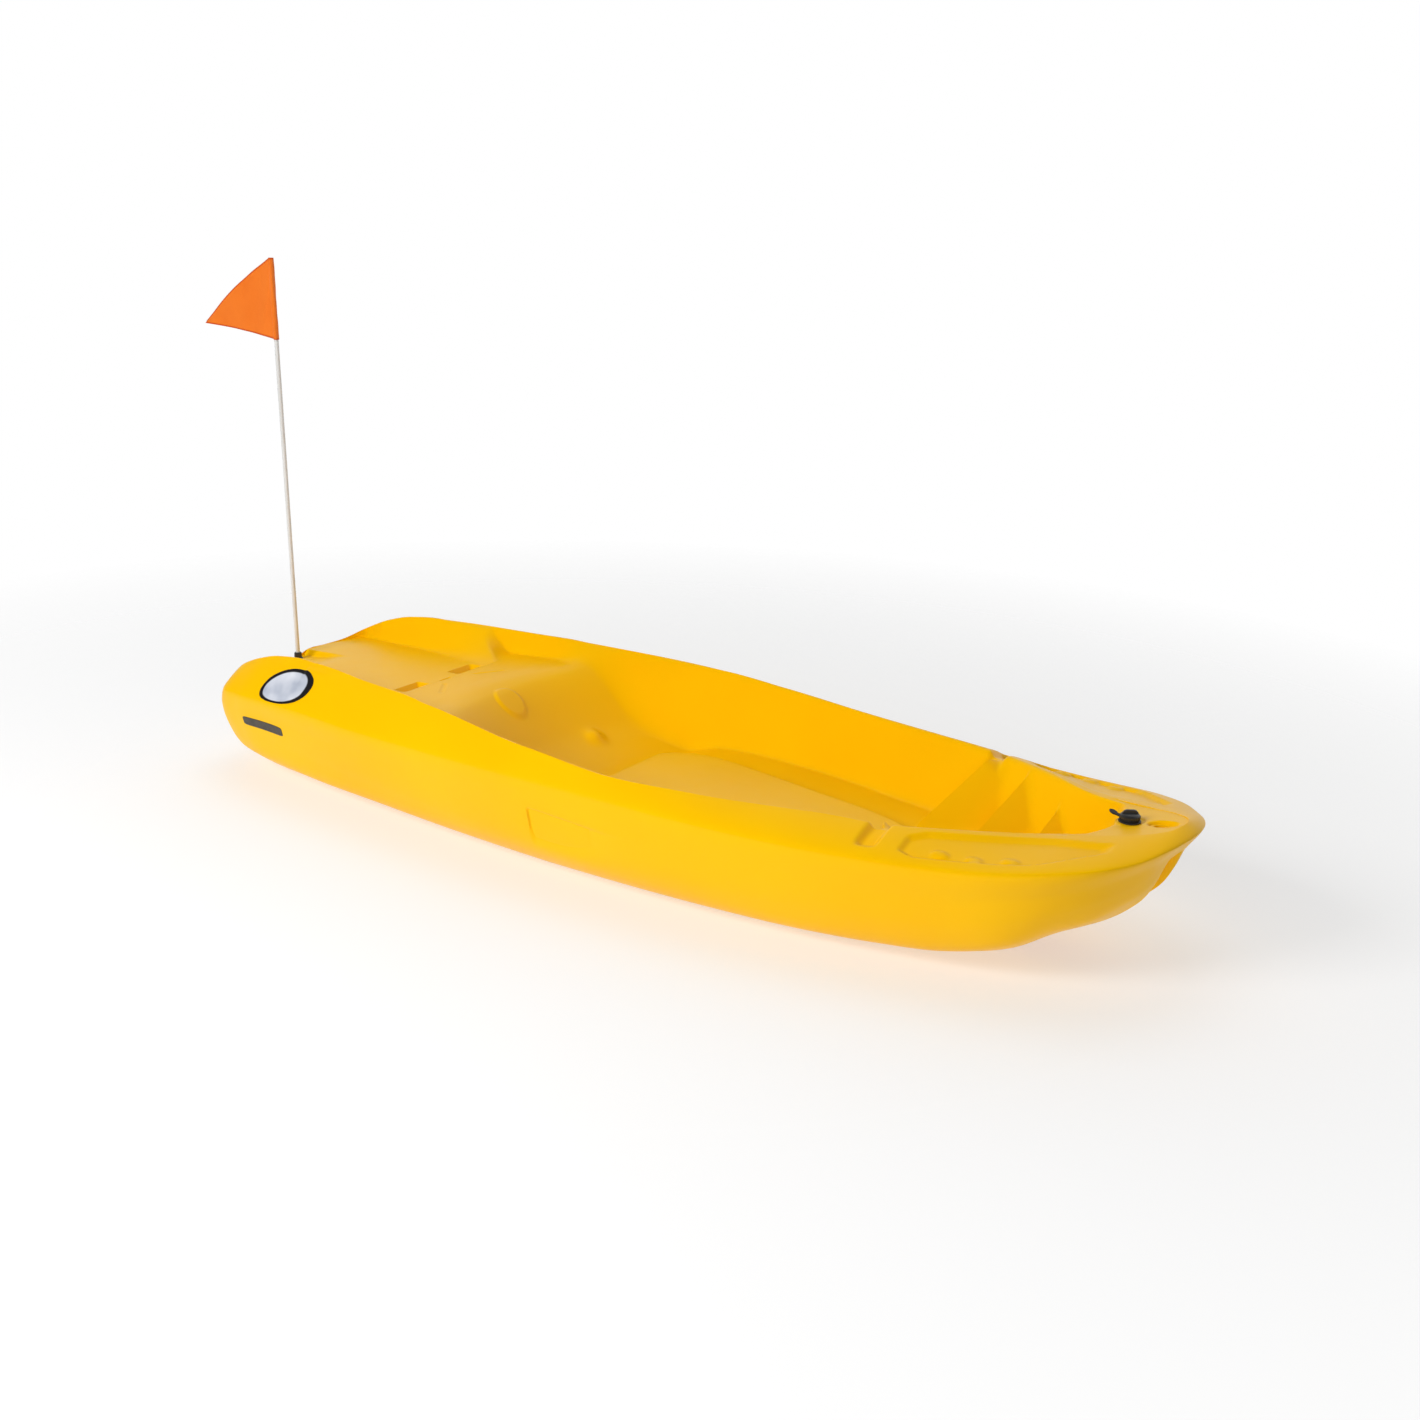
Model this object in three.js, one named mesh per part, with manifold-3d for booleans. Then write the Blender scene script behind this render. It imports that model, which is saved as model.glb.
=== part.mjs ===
// Child's sit-on-top kayak with a safety pennant on a staff and a drain plug.
//
// Millimetres. +X towards the bow, +Y to port, +Z up, Z = 0 under the keels.
// The shape functions work in stations S measured from the stern (S = 0) to
// the bow (S = 1825), in the half breadth A = |y| and in height Z. The whole
// model is moved back by MID at the end, so that the origin is under the
// middle of the bounding box.
import * as THREE from 'three';
import { mergeGeometries, mergeVertices } from 'three/addons/utils/BufferGeometryUtils.js';
import { ParametricGeometry } from 'three/addons/geometries/ParametricGeometry.js';
import Module from 'manifold-3d';

const wasm = await Module();
wasm.setup();

// ---------------------------------------------------------------- dimensions
const MID = 826.378;            // station of the model's origin
const WALL = 2.8;              // thickness of both plastic mouldings
const SEAM = 0.15;             // half the gap between deck and hull at the seam
const PLUG = { s: 1719, z: 233.6, pad: 20 };        // drain plug seat
const STAFF = { s: 41, z: 171.2, pad: 9.5, r: 4, length: 749.5, depth: 55 };
const RIM_CURVE = 0.0012;      // how the seat back's rim bends forward with half breadth squared
const SLOPE = 0.0563;          // rise of the stern platform per mm forward
const TOW = { s: 1771, z: 236, long: 1.5 };         // tow hole in the bow deck
const PENNANT = { hoist: 147, fly: 178, thick: 1.2, sleeveR: 5.6, boreR: 4.3 };

// Crest of the gunwale: station, half breadth, height.
const CREST = [
  [60, 166, 199], [110, 177, 223], [170, 181, 240], [237, 185, 247], [334, 199, 247],
  [410, 215, 247], [510, 230, 247], [598, 247, 243], [681, 264, 238], [761, 279, 234],
  [834, 289, 231], [901, 292, 226], [964, 292, 221], [1022, 285, 219], [1090, 273, 218.5],
  [1165, 259, 217.5], [1237, 243, 219], [1341, 222, 221], [1413, 208, 220], [1483, 180, 221],
  [1549, 148, 222], [1613, 113, 223], [1660, 92, 227], [1700, 78, 232],
];
// Foot of the cockpit's side walls, and height of the cockpit floor.
const FOOT = [
  [560, 150], [640, 185], [720, 205], [800, 222], [870, 238], [943, 243], [1022, 237],
  [1131, 221], [1247, 188], [1341, 160], [1440, 128], [1540, 98], [1620, 70], [1700, 50],
];
const FLOOR = [
  [600, 88], [690, 88], [790, 88], [860, 103], [943, 105], [1130, 105], [1250, 108],
  [1341, 112], [1450, 118], [1560, 124], [1640, 130], [1700, 136],
];
// Raised middle of the floor, between the two leg channels.
const PLATEAU_Z = 126;
const PLATEAU = [
  [795, 0], [803, 40], [818, 82], [850, 120], [915, 139], [1020, 122], [1142, 97],
  [1269, 69], [1330, 45], [1372, 0],
];
// Drop of the seat back below its rim, by distance forward of the rim.
const SEAT_BACK = [
  [-75, 0], [-40, 2], [-15, 10], [0, 18], [20, 33], [60, 68], [100, 99], [135, 120],
  [165, 136], [220, 175], [400, 260],
];
// Heights of the deck behind the seat and of the bow deck, by station.
const REAR_DECK = [[392, 205], [525, 213], [600, 224], [680, 238], [760, 234]];
const BOW_DECK = [[1600, 223], [1660, 227], [1700, 231], [1760, 240], [1800, 247], [1830, 252]];
// Half breadth of the stern platform and of the deck behind the seat.
const PLATFORM_EDGE = [[40, 170], [83, 166], [243, 149], [412, 122]];
const REAR_EDGE = [[392, 196], [500, 204], [560, 190], [620, 170]];
// Foot braces: start station, start height, forward run and rise per mm out, fall per mm forward.
const BRACES = [
  { s: 1347, z: 127, a: 60, run: 0.48, rise: 0.736, fall: 0.55 },
  { s: 1451, z: 136, a: 55, run: 0.30, rise: 0.66, fall: 0.60 },
  { s: 1545, z: 140, a: 40, run: 0.20, rise: 0.60, fall: 0.60 },
];
// Tunnel between the two hull lobes: half width and crown height.
const TUNNEL_HALF = [[0, 58], [300, 60], [1000, 60], [1400, 46], [1600, 36], [1740, 33], [1830, 33]];
const TUNNEL_CROWN = [
  [0, 60], [400, 60], [1100, 62], [1400, 72], [1520, 86], [1613, 103], [1680, 128],
  [1740, 168], [1780, 200], [1800, 212], [1830, 214],
];
// Ribs of the outside, from the stern's centreline to the bow's, port half.
// Each holds [station, half breadth, height] at the gunwale crest, shoulder
// (the seam), upper side, lower side, bilge, outer keel, inner keel, centreline.
const RIBS = [
  [[29, 0, 169], [10, 0, 148], [4, 0, 120], [10, 0, 86],
    [26, 0, 54], [42, 0, 38], [54, 0, 32], [62, 0, 30]],
  [[29, 40, 180], [10, 50, 150], [3, 50, 120], [9, 50, 86],
    [24, 50, 53], [41, 45, 36], [57, 35, 30], [67, 0, 29]],
  [[31, 85, 180], [11, 100, 151], [3, 100, 122], [9, 98, 88],
    [25, 95, 52], [45, 85, 33], [68, 55, 28], [80, 0, 27]],
  [[40, 130, 184], [19, 152, 154], [10, 150, 124], [15, 146, 89],
    [31, 138, 51], [55, 122, 31], [90, 66, 25], [100, 0, 25]],
  [[60, 166, 199], [44, 198, 160], [34, 193, 128], [39, 184, 89],
    [56, 170, 50], [84, 148, 27], [125, 70, 21], [130, 0, 21]],
  [[110, 177, 223], [100, 221, 165], [93, 214, 130], [97, 203, 90],
    [109, 187, 48], [127, 162, 25], [161, 72, 18], [166, 0, 18]],
  [[180, 181.5, 241], [176, 237, 170], [176, 228, 134], [178, 215, 90],
    [184, 197, 44], [192, 170, 22], [210, 74, 15], [212, 0, 15]],
  [[280, 191, 247.5], [278, 252, 174], [278, 242, 132], [278, 226, 84],
    [280, 206, 37], [284, 172, 18], [290, 74, 12], [290, 0, 12]],
  [[410, 215, 247], [410, 270, 174], [410, 260, 130], [410, 242, 78],
    [410, 219, 35], [410, 178, 14], [410, 75, 9], [410, 0, 9]],
  [[598, 247, 243], [598, 290, 178], [598, 280, 128], [598, 260, 70],
    [598, 233, 31], [598, 188, 6], [598, 75, 4], [598, 0, 4]],
  [[800, 285, 232], [800, 308, 182], [800, 297, 126], [800, 276, 66],
    [800, 243, 29], [800, 193, 0], [800, 75, 0], [800, 0, 0]],
  [[964, 292, 221], [964, 311, 183], [964, 300, 126], [964, 278, 66],
    [964, 244, 27], [964, 192, 0], [964, 74, 0], [964, 0, 0]],
  [[1132, 265, 218], [1132, 307, 183], [1132, 295, 126], [1132, 273, 68],
    [1132, 240, 27], [1132, 188, 3], [1132, 70, 2], [1132, 0, 2]],
  [[1290, 232, 220], [1290, 294, 183], [1290, 281, 128], [1290, 259, 73],
    [1290, 229, 29], [1290, 182, 8], [1290, 62, 5], [1290, 0, 5]],
  [[1413, 208, 220], [1413, 277, 185], [1413, 263, 130], [1413, 242, 76],
    [1413, 211, 33], [1413, 172, 15], [1413, 52, 9], [1413, 0, 9]],
  [[1520, 163, 222], [1520, 259, 190], [1520, 244, 136], [1520, 224, 84],
    [1520, 196, 43], [1520, 160, 27], [1520, 44, 20], [1520, 0, 20]],
  [[1613, 113, 223], [1613, 239, 199], [1613, 223, 150], [1613, 207, 106],
    [1613, 184, 70], [1613, 150, 54], [1613, 38, 40], [1613, 0, 40]],
  [[1680, 90, 230], [1690, 210, 209], [1684, 193, 166], [1680, 177, 130],
    [1675, 154, 100], [1670, 122, 84], [1664, 36, 60], [1662, 0, 60]],
  [[1730, 72, 236], [1743, 175, 216], [1732, 159, 180], [1726, 144, 148],
    [1720, 122, 117], [1714, 92, 101], [1706, 34, 82], [1704, 0, 82]],
  [[1768, 56, 242], [1782, 128, 222], [1768, 118, 194], [1761, 104, 166],
    [1754, 88, 140], [1748, 66, 125], [1741, 33, 107], [1739, 0, 107]],
  [[1793, 36, 247], [1805, 85, 230], [1790, 80, 204], [1783, 70, 182],
    [1777, 58, 160], [1772, 46, 147], [1766, 32, 132], [1764, 0, 132]],
  [[1802, 18, 250], [1819, 43, 236], [1803, 40, 214], [1795, 36, 198],
    [1790, 34, 184], [1786, 33, 172], [1781, 31, 160], [1780, 0, 160]],
  [[1805, 0, 251], [1825, 0, 239], [1810, 0, 216], [1802, 0, 203],
    [1797, 0, 190], [1793, 0, 180], [1788, 0, 170], [1787, 0, 168]],
];

// ------------------------------------------------------------ small functions
const clamp = (x, lo, hi) => Math.min(Math.max(x, lo), hi);
const mix = (a, b, t) => a + (b - a) * t;
const step = (lo, hi, x) => {
  const t = clamp((x - lo) / (hi - lo), 0, 1);
  return t * t * (3 - 2 * t);
};
const roundMax = (a, b, k) => Math.max(a, b) + Math.max(k - Math.abs(a - b), 0) ** 2 / (4 * k);
const roundMin = (a, b, k) => -roundMax(-a, -b, k);
const hermite = (p, q, m, n, h, t) => (1 + 2 * t) * (1 - t) ** 2 * p + t * (1 - t) ** 2 * h * m
  + t * t * (3 - 2 * t) * q + t * t * (t - 1) * h * n;

// Smooth curve through a table of [x, y] rows that never overshoots them.
function curve(rows, column = 1) {
  const x = rows.map((r) => r[0]);
  const y = rows.map((r) => r[column]);
  const last = x.length - 1;
  const slope = y.slice(1).map((v, i) => (v - y[i]) / (x[i + 1] - x[i]));
  const m = y.map((_, i) => {
    if (i === 0) return slope[0];
    if (i === last) return slope[last - 1];
    if (slope[i - 1] * slope[i] <= 0) return 0;
    const before = x[i] - x[i - 1];
    const after = x[i + 1] - x[i];
    const w1 = 2 * after + before;
    const w2 = after + 2 * before;
    return (w1 + w2) / (w1 / slope[i - 1] + w2 / slope[i]);
  });
  return (at) => {
    const v = clamp(at, x[0], x[last]);
    let i = 0;
    while (i < last - 1 && v >= x[i + 1]) i += 1;
    const h = x[i + 1] - x[i];
    return hermite(y[i], y[i + 1], m[i], m[i + 1], h, (v - x[i]) / h);
  };
}

const crestA = curve(CREST, 1);
const crestZ = curve(CREST, 2);
const footA = curve(FOOT);
const floorZ = curve(FLOOR);
const plateauA = curve(PLATEAU);
const seatDrop = curve(SEAT_BACK);
const rearZ = curve(REAR_DECK);
const bowZ = curve(BOW_DECK);
const platformA = curve(PLATFORM_EDGE);
const rearA = curve(REAR_EDGE);
const tunnelA = curve(TUNNEL_HALF);
const crownZ = curve(TUNNEL_CROWN);

// ------------------------------------------------- height of the deck's top
function platformZ(s, a) {
  const plane = 180 + (s - 35) * SLOPE;
  let z = plane - 10 * (1 - step(26, 38, a)) * (1 - step(60, 150, s));
  const pocket = (1 - step(0, 8, Math.abs(a - 74) - 26)) * (1 - step(0, 6, Math.abs(s - 390) - 8));
  z -= 9 * pocket;
  const run = Math.max(crestA(s) - 4 - platformA(s), 8);
  const wall = plane + (crestZ(s) - plane) * (a - platformA(s)) / run;
  return roundMin(roundMax(z, wall, 14), crestZ(s), 6);
}

function rearDeckZ(s, a) {
  const z = rearZ(s);
  const wall = z + (crestZ(s) - z) * (a - rearA(s)) / Math.max(crestA(s) - 4 - rearA(s), 8);
  return roundMin(roundMax(z, wall, 12), crestZ(s), 6);
}

function wellZ(s, a) {
  const floor = floorZ(s) + (PLATEAU_Z - floorZ(s)) * (1 - step(-14, 14, a - plateauA(s)))
    * step(800, 826, s) * (1 - step(1330, 1375, s));
  const run = Math.max(crestA(s) - 5 - footA(s), 12);
  const wall = floorZ(s) + (crestZ(s) - floorZ(s)) * (a - footA(s)) / run;
  let z = roundMax(floor, wall, 26);
  const rim = 543 + RIM_CURVE * a * a;
  let back = rearZ(rim) - seatDrop(s - rim);
  back += 2.5 * (1 - step(26, 31, Math.hypot(s - 553, a)));
  z = roundMax(z, back, 22);
  z += 9 * Math.exp(-((Math.hypot(s - 668, a - 108) / 15) ** 2));
  for (const b of BRACES) {
    const crest = b.s + (a - b.a) * b.run;
    let rib = b.z + (a - b.a) * b.rise - (s > crest ? (s - crest) * b.fall : (crest - s) * 4.5);
    if (a < b.a) rib -= (b.a - a) * 0.55;
    z = roundMax(z, rib, 10);
  }
  const front = bowZ(s) - (1703 - 0.004 * a * a - s) * 1.9;
  return roundMax(z, front, 24);
}

function deckTopZ(s, y) {
  const a = Math.abs(y);
  let z;
  if (s < 560) {
    const outer = step(120, 190, a);
    const behind = step(414 - 56 * outer, 421, s + 12 * outer);
    z = mix(platformZ(s, a), rearDeckZ(s, a), behind);
  } else if (s < 680) {
    z = rearDeckZ(s, a);
  } else {
    z = mix(crestZ(s), bowZ(s), step(1600, 1690, s));
  }
  if (s >= 460) z = roundMin(z, wellZ(s, a), s < 700 ? 16 * step(460, 530, s) + 0.01 : 9);
  z -= 7 * (1 - step(0.75, 1.05, Math.hypot((s - TOW.s) / 24, a / 17)));
  z = mix(z, PLUG.z, 1 - step(PLUG.pad, PLUG.pad + 5, Math.hypot(s - PLUG.s, a)));
  const seat = STAFF.z + (s - STAFF.s) * SLOPE;
  return mix(z, seat, 1 - step(STAFF.pad, STAFF.pad + 4, Math.hypot(s - STAFF.s, a)));
}

// Thickness of the deck measured straight down, so that it is WALL thick
// square to its own slope, and a little more where it is level.
function deckThickness(s, y) {
  const ds = (deckTopZ(s + 3, y) - deckTopZ(s - 3, y)) / 6;
  const dy = (deckTopZ(s, y + 3) - deckTopZ(s, y - 3)) / 6;
  return clamp(WALL * Math.hypot(1, ds, dy), 3.8, 13);
}

// -------------------------------------------------------- the outside's net
const SPAN = RIBS.slice(1).map((rib, i) => Math.hypot(...rib[1].map((v, k) => v - RIBS[i][1][k])));

// Point of one level at rib number r, which need not be whole.
function ribPoint(level, r) {
  const last = RIBS.length - 1;
  const i = clamp(Math.floor(r), 0, last - 1);
  const slope = (j, k) => {
    if (j === 0 || j === last) {
      const inner = j === 0 ? 0 : last - 1;
      return k === 1 ? (RIBS[inner + 1][level][k] - RIBS[inner][level][k]) / SPAN[inner] : 0;
    }
    const before = (RIBS[j][level][k] - RIBS[j - 1][level][k]) / SPAN[j - 1];
    const after = (RIBS[j + 1][level][k] - RIBS[j][level][k]) / SPAN[j];
    return (before * SPAN[j] + after * SPAN[j - 1]) / (SPAN[j] + SPAN[j - 1]);
  };
  return [0, 1, 2].map((k) => hermite(RIBS[i][level][k], RIBS[i + 1][level][k],
    slope(i, k), slope(i + 1, k), SPAN[i], r - i));
}

// Level direction that points into the boat, square to the shoulder line.
function inward(r) {
  const last = RIBS.length - 1;
  if (r < 1e-6) return [1, 0];
  if (r > last - 1e-6) return [-1, 0];
  const p = ribPoint(1, Math.max(r - 0.04, 0));
  const q = ribPoint(1, Math.min(r + 0.04, last));
  const length = Math.hypot(q[0] - p[0], q[1] - p[1]);
  return [(q[1] - p[1]) / length, -(q[0] - p[0]) / length];
}

// The side deck, from the crest (t = 0) out to the shoulder (t = 1), with the
// paddle notch across it and the long paddle recess along it.
function sideDeck(r, t) {
  const p = ribPoint(0, r);
  const q = ribPoint(1, r);
  const below = ribPoint(2, r);
  const d = q.map((v, k) => v - p[k]);
  const steep = Math.abs(d[2]) / (Math.hypot(d[0], d[1]) + Math.abs(d[2]));
  const m = [d[0], d[1], d[2] * clamp(1.25 * steep, 0.2, 0.9)];
  const n = q.map((v, k) => 0.45 * (below[k] - v) + 0.175 * d[k]);
  const point = [0, 1, 2].map((k) => hermite(p[k], q[k], m[k], n[k], 1, t));
  const recess = step(1462, 1474, point[0]) * (1 - step(1722, 1740, point[0]))
    * step(0.13, 0.2, t) * (1 - step(0.62, 0.69, t));
  const notch = (1 - step(9, 21, Math.abs(point[0] - 1413))) * (1 - step(0.45, 0.75, t));
  point[2] -= 4.5 * recess + 10 * notch;
  return point;
}

// The hull's side, from the shoulder (h = 1) down to the outer keel (h = 5),
// then across the bottom (h = 6 on the centreline) with the tunnel pushed up.
const BOTTOM_SPLIT = [0.93, 0.72, 0.4];
function hullPoint(r, h, grow = 0) {
  let point;
  const level = Array.from({ length: 8 }, (_, j) => ribPoint(j, r));
  if (h <= 5) {
    const i = clamp(Math.floor(h), 1, 4);
    const tangent = (j, k) => {
      if (j === 1) return 0.45 * (level[2][k] - level[1][k]) + 0.175 * (level[1][k] - level[0][k]);
      if (j === 5) return 0.6 * (level[5][k] - level[4][k]);
      return (level[j + 1][k] - level[j - 1][k]) / 2;
    };
    point = [0, 1, 2].map((k) => hermite(level[i][k], level[i + 1][k],
      tangent(i, k), tangent(i + 1, k), 1, h - i));
  } else {
    const outer = level[5];
    const width = Math.max(outer[1], 1e-6);
    const half = tunnelA(outer[0]) + grow;
    const inner = Math.min((half - 8) / width, BOTTOM_SPLIT[1]);
    const rows = [1, Math.min((half + 7) / width, BOTTOM_SPLIT[0]), inner, inner * BOTTOM_SPLIT[2], 0];
    const at = (h - 5) * 4;
    const i = Math.min(Math.floor(at), 3);
    const f = mix(rows[i], rows[i + 1], at - i);
    const g = outer[1] > 1 ? level[6][1] / outer[1] : 0.5;
    const [from, to, t] = f > g ? [level[6], outer, (f - g) / (1 - g)] : [level[7], level[6], f / g];
    point = from.map((v, k) => mix(v, to[k], t));
  }
  const half = tunnelA(point[0]) + grow;
  const crown = crownZ(point[0]) - 6 * (point[1] / half) ** 2;
  const inside = 1 - step(half - 9, half + 5, point[1]);
  if (crown > point[2]) point[2] = mix(point[2], crown, inside);
  point[2] = Math.max(point[2], 0);
  return point;
}

// The hull's skins: v = 0 on the seam, last row on the centreline.
const HULL_ROWS = [1, 1.3, 2, 3, 3.6, 4, 4.5, 5, 5.25, 5.5, 5.75, 6];
function hullSkin(r, row, inner) {
  const h = lookup(HULL_ROWS, row / (HULL_ROWS.length - 1));
  const p = hullPoint(r, h, inner ? WALL : 0);
  if (h < 1.001) p[2] -= SEAM;
  if (!inner) return p;
  const turn = clamp((h - 3.4) / 1.6, 0, 1) * Math.PI / 2;
  const [nx, ny] = inward(r);
  const side = (WALL + 0.5) * Math.cos(turn);
  return [p[0] + nx * side, Math.max(p[1] + ny * side, 0), p[2] + (WALL + 0.5) * Math.sin(turn)];
}

// ------------------------------------------------------ columns and rows
// Rib number at which the crest passes a station.
function ribAt(station) {
  let lo = 0;
  let hi = RIBS.length - 1;
  for (let i = 0; i < 40; i += 1) {
    const middle = (lo + hi) / 2;
    if (ribPoint(0, middle)[0] < station) lo = middle;
    else hi = middle;
  }
  return (lo + hi) / 2;
}
const STERN_COLUMNS = [0, 0.6, 0.9, 1.2, 1.6, 2.1, 2.8, 3.4, 4, 4.5];
const SIDE_STATIONS = [
  110, 150, 200, 255, 315, 352, 374, 383, 397, 408, 422, 460, 492, 518, 545, 585, 640, 700, 755,
  783, 808, 830, 880,
  940, 1000, 1070, 1140, 1210, 1270, 1320, 1365, 1395, 1413, 1431, 1464, 1478, 1520, 1562, 1590,
  1630, 1668, 1694, 1720, 1748,
];
const BOW_COLUMNS = [19, 19.6, 20.2, 20.6, 20.85, 21.3, 22];
const COLUMNS = [...STERN_COLUMNS, ...SIDE_STATIONS.map(ribAt), ...BOW_COLUMNS];
const SIDE_DECK_ROWS = [0, 0.14, 0.21, 0.62, 0.7, 0.88, 1];   // crest to shoulder
const FLOOR_ROWS = [0.1, 0.22, 0.36, 0.5, 0.66, 0.83, 1];     // wall foot to centreline

const lookup = (list, u) => {
  const at = clamp(u, 0, 1) * (list.length - 1);
  const i = Math.min(Math.floor(at), list.length - 2);
  return mix(list[i], list[i + 1], at - i);
};

// Stations of the inside lean with the seat's rim and with the foot braces.
const LEAN = curve([[1290, 0], [1425, 0.48], [1490, 0.3], [1566, 0.2], [1645, 0.04], [1700, 0]]);
const RIM_LEAN = curve([[430, 0], [563, 1], [680, 1], [755, 0]]);

function innerRows(crest) {
  const edge = 5 / crest[1];
  let foot = 0.5;
  if (crest[0] > 45 && crest[0] < 391) foot = 1 - platformA(crest[0]) / crest[1];
  else if (crest[0] < 545) foot = 1 - (rearA(crest[0]) - 2) / crest[1];
  else if (crest[0] < 1705) foot = 1 - footA(crest[0]) / crest[1];
  foot = clamp(foot, 0.08, 0.75);
  const wide = Math.min(edge, foot * 0.3);
  return [0, wide, mix(wide, foot, 0.5), foot, ...FLOOR_ROWS.map((t) => mix(foot, 1, t))];
}

// Point of the deck's top or underside: v = 0 on the seam, 1 on the centreline.
const BAND = SIDE_DECK_ROWS.length - 1;
const INNER = FLOOR_ROWS.length + 3;
function deckPoint(r, row, under) {
  if (row <= BAND) {
    const t = lookup(SIDE_DECK_ROWS, 1 - row / BAND);
    const p = sideDeck(r, t);
    if (t > 0.999) p[2] += SEAM;
    if (!under) return p;
    const [nx, ny] = inward(r);
    return [p[0] + nx * WALL * t, Math.max(p[1] + ny * WALL * t, 0), p[2] - mix(7, 0, t)];
  }
  const crest = sideDeck(r, 0);
  const f = lookup(innerRows([crest[0], Math.max(crest[1], 1)]), (row - BAND) / INNER);
  const spine = 0.9 * crest[0] + 0.1 * mix(45, 1795, (crest[0] - 29) / 1776);
  const a = crest[1] * (1 - f);
  let s = mix(crest[0], spine, f);
  s -= LEAN(crest[0]) * (crest[1] - Math.max(a, 50)) * (crest[1] > 50 ? 1 : 0);
  s -= RIM_LEAN(crest[0]) * RIM_CURVE * (crest[1] ** 2 - a ** 2);
  const notch = 10 * (1 - step(9, 21, Math.abs(s - 1413))) * step(crest[1] - 32, crest[1] - 6, a);
  const z = deckTopZ(s, a) - (s > 1300 && s < 1500 ? notch : 0);
  return [s, a, under ? z - deckThickness(s, a) : z];
}

// Both halves of a skin as one surface: u runs from the stern's centreline
// along the port side to the bow and back along the starboard side.
function skin(at, rows, flip) {
  const half = COLUMNS.length - 1;
  const surface = (u, v, target) => {
    const side = u <= 0.5 ? 1 : -1;
    const r = lookup(COLUMNS, side > 0 ? 2 * u : 2 - 2 * u);
    const [s, a, z] = at(r, v * rows);
    target.set(s, side * a, z);
  };
  const geometry = new ParametricGeometry(surface, 2 * half, rows);
  if (flip) geometry.index.array.reverse();
  return geometry;
}

// ------------------------------------------------------------- solid helpers
function weld(geometry) {
  const plain = geometry.clone();
  for (const name of ['normal', 'uv', 'uv1', 'uv2']) plain.deleteAttribute(name);
  const welded = mergeVertices(plain, 1e-3);
  const index = welded.index.array;
  const kept = [];
  for (let i = 0; i < index.length; i += 3) {
    const [a, b, c] = [index[i], index[i + 1], index[i + 2]];
    if (a !== b && b !== c && c !== a) kept.push(a, b, c);
  }
  welded.setIndex(kept);
  return welded;
}

function volumeOf(geometry) {
  const p = geometry.attributes.position;
  const index = geometry.index.array;
  const [a, b, c] = [new THREE.Vector3(), new THREE.Vector3(), new THREE.Vector3()];
  let sum = 0;
  for (let i = 0; i < index.length; i += 3) {
    a.fromBufferAttribute(p, index[i]);
    b.fromBufferAttribute(p, index[i + 1]);
    c.fromBufferAttribute(p, index[i + 2]);
    sum += a.dot(b.cross(c));
  }
  return sum / 6;
}

function outward(geometry) {
  if (volumeOf(geometry) < 0) geometry.index.array.reverse();
  return geometry;
}

function solid(geometry) {
  const closed = outward(weld(geometry));
  return new wasm.Manifold(new wasm.Mesh({
    numProp: 3,
    vertProperties: new Float32Array(closed.attributes.position.array),
    triVerts: new Uint32Array(closed.index.array),
  }));
}

function geometryOf(manifold) {
  const mesh = manifold.getMesh();
  const geometry = new THREE.BufferGeometry();
  geometry.setAttribute('position', new THREE.BufferAttribute(new Float32Array(mesh.vertProperties), 3));
  geometry.setIndex(new THREE.BufferAttribute(new Uint32Array(mesh.triVerts), 1));
  return geometry;
}

// A thin moulding between an outer and an inner skin that share one edge.
function moulding(outerAt, innerAt, rows) {
  const outer = skin(outerAt, rows, false);
  const inner = skin(innerAt, rows, true);
  const half = COLUMNS.length - 1;
  const edge = new ParametricGeometry((u, v, target) => {
    const side = u <= 0.5 ? 1 : -1;
    const r = lookup(COLUMNS, side > 0 ? 2 * u : 2 - 2 * u);
    const p = outerAt(r, 0);
    const q = innerAt(r, 0);
    target.set(mix(q[0], p[0], v), side * mix(q[1], p[1], v), mix(q[2], p[2], v));
  }, 2 * half, 1);
  return mergeGeometries([outer, inner, edge]);
}

// Turned piece: profile of [radius, height] pairs that starts and ends on the
// axis, or closes on itself, standing along Z.
function turned(profile, segments = 24) {
  const geometry = new THREE.LatheGeometry(profile.map(([r, z]) => new THREE.Vector2(r, z)), segments);
  return geometry.rotateX(Math.PI / 2);
}

function place(geometry, s, z, lean = 0) {
  return geometry.rotateY(-lean).translate(s, 0, z);
}

// ------------------------------------------------------------ the mouldings
const LEAN_ANGLE = Math.atan(SLOPE);
const through = (radius, low, high, stretch = 1) => {
  const geometry = new THREE.CylinderGeometry(radius, radius, high - low, 24).rotateX(Math.PI / 2);
  return geometry.translate(0, 0, (low + high) / 2).scale(stretch, 1, 1);
};

const deckShell = solid(moulding((r, row) => deckPoint(r, row, false),
  (r, row) => deckPoint(r, row, true), BAND + INNER));
const hullShell = solid(moulding((r, row) => hullSkin(r, row, false),
  (r, row) => hullSkin(r, row, true), HULL_ROWS.length - 1));

// The deck runs down to the hull around the tow hole.
const TOW_FLOOR = 199.5;
const towFunnel = turned([[0, TOW_FLOOR], [9.5, TOW_FLOOR], [13, TOW.z - 1], [0, TOW.z - 1]])
  .scale(TOW.long, 1, 1).translate(TOW.s, 0, 0);
const towMouth = turned([
  [0, TOW_FLOOR - 30], [6, TOW_FLOOR - 30], [6, TOW_FLOOR + 6], [9.5, TOW.z], [9.5, 260], [0, 260],
])
  .scale(TOW.long, 1, 1).translate(TOW.s, 0, 0);
const towBelow = through(7, 150, TOW_FLOOR - 0.35, TOW.long).translate(TOW.s, 0, 0);
const plugAt = (geometry) => solid(geometry.translate(PLUG.s, 0, PLUG.z));
const staffAt = (geometry) => solid(place(geometry, STAFF.s, STAFF.z, LEAN_ANGLE));
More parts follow.
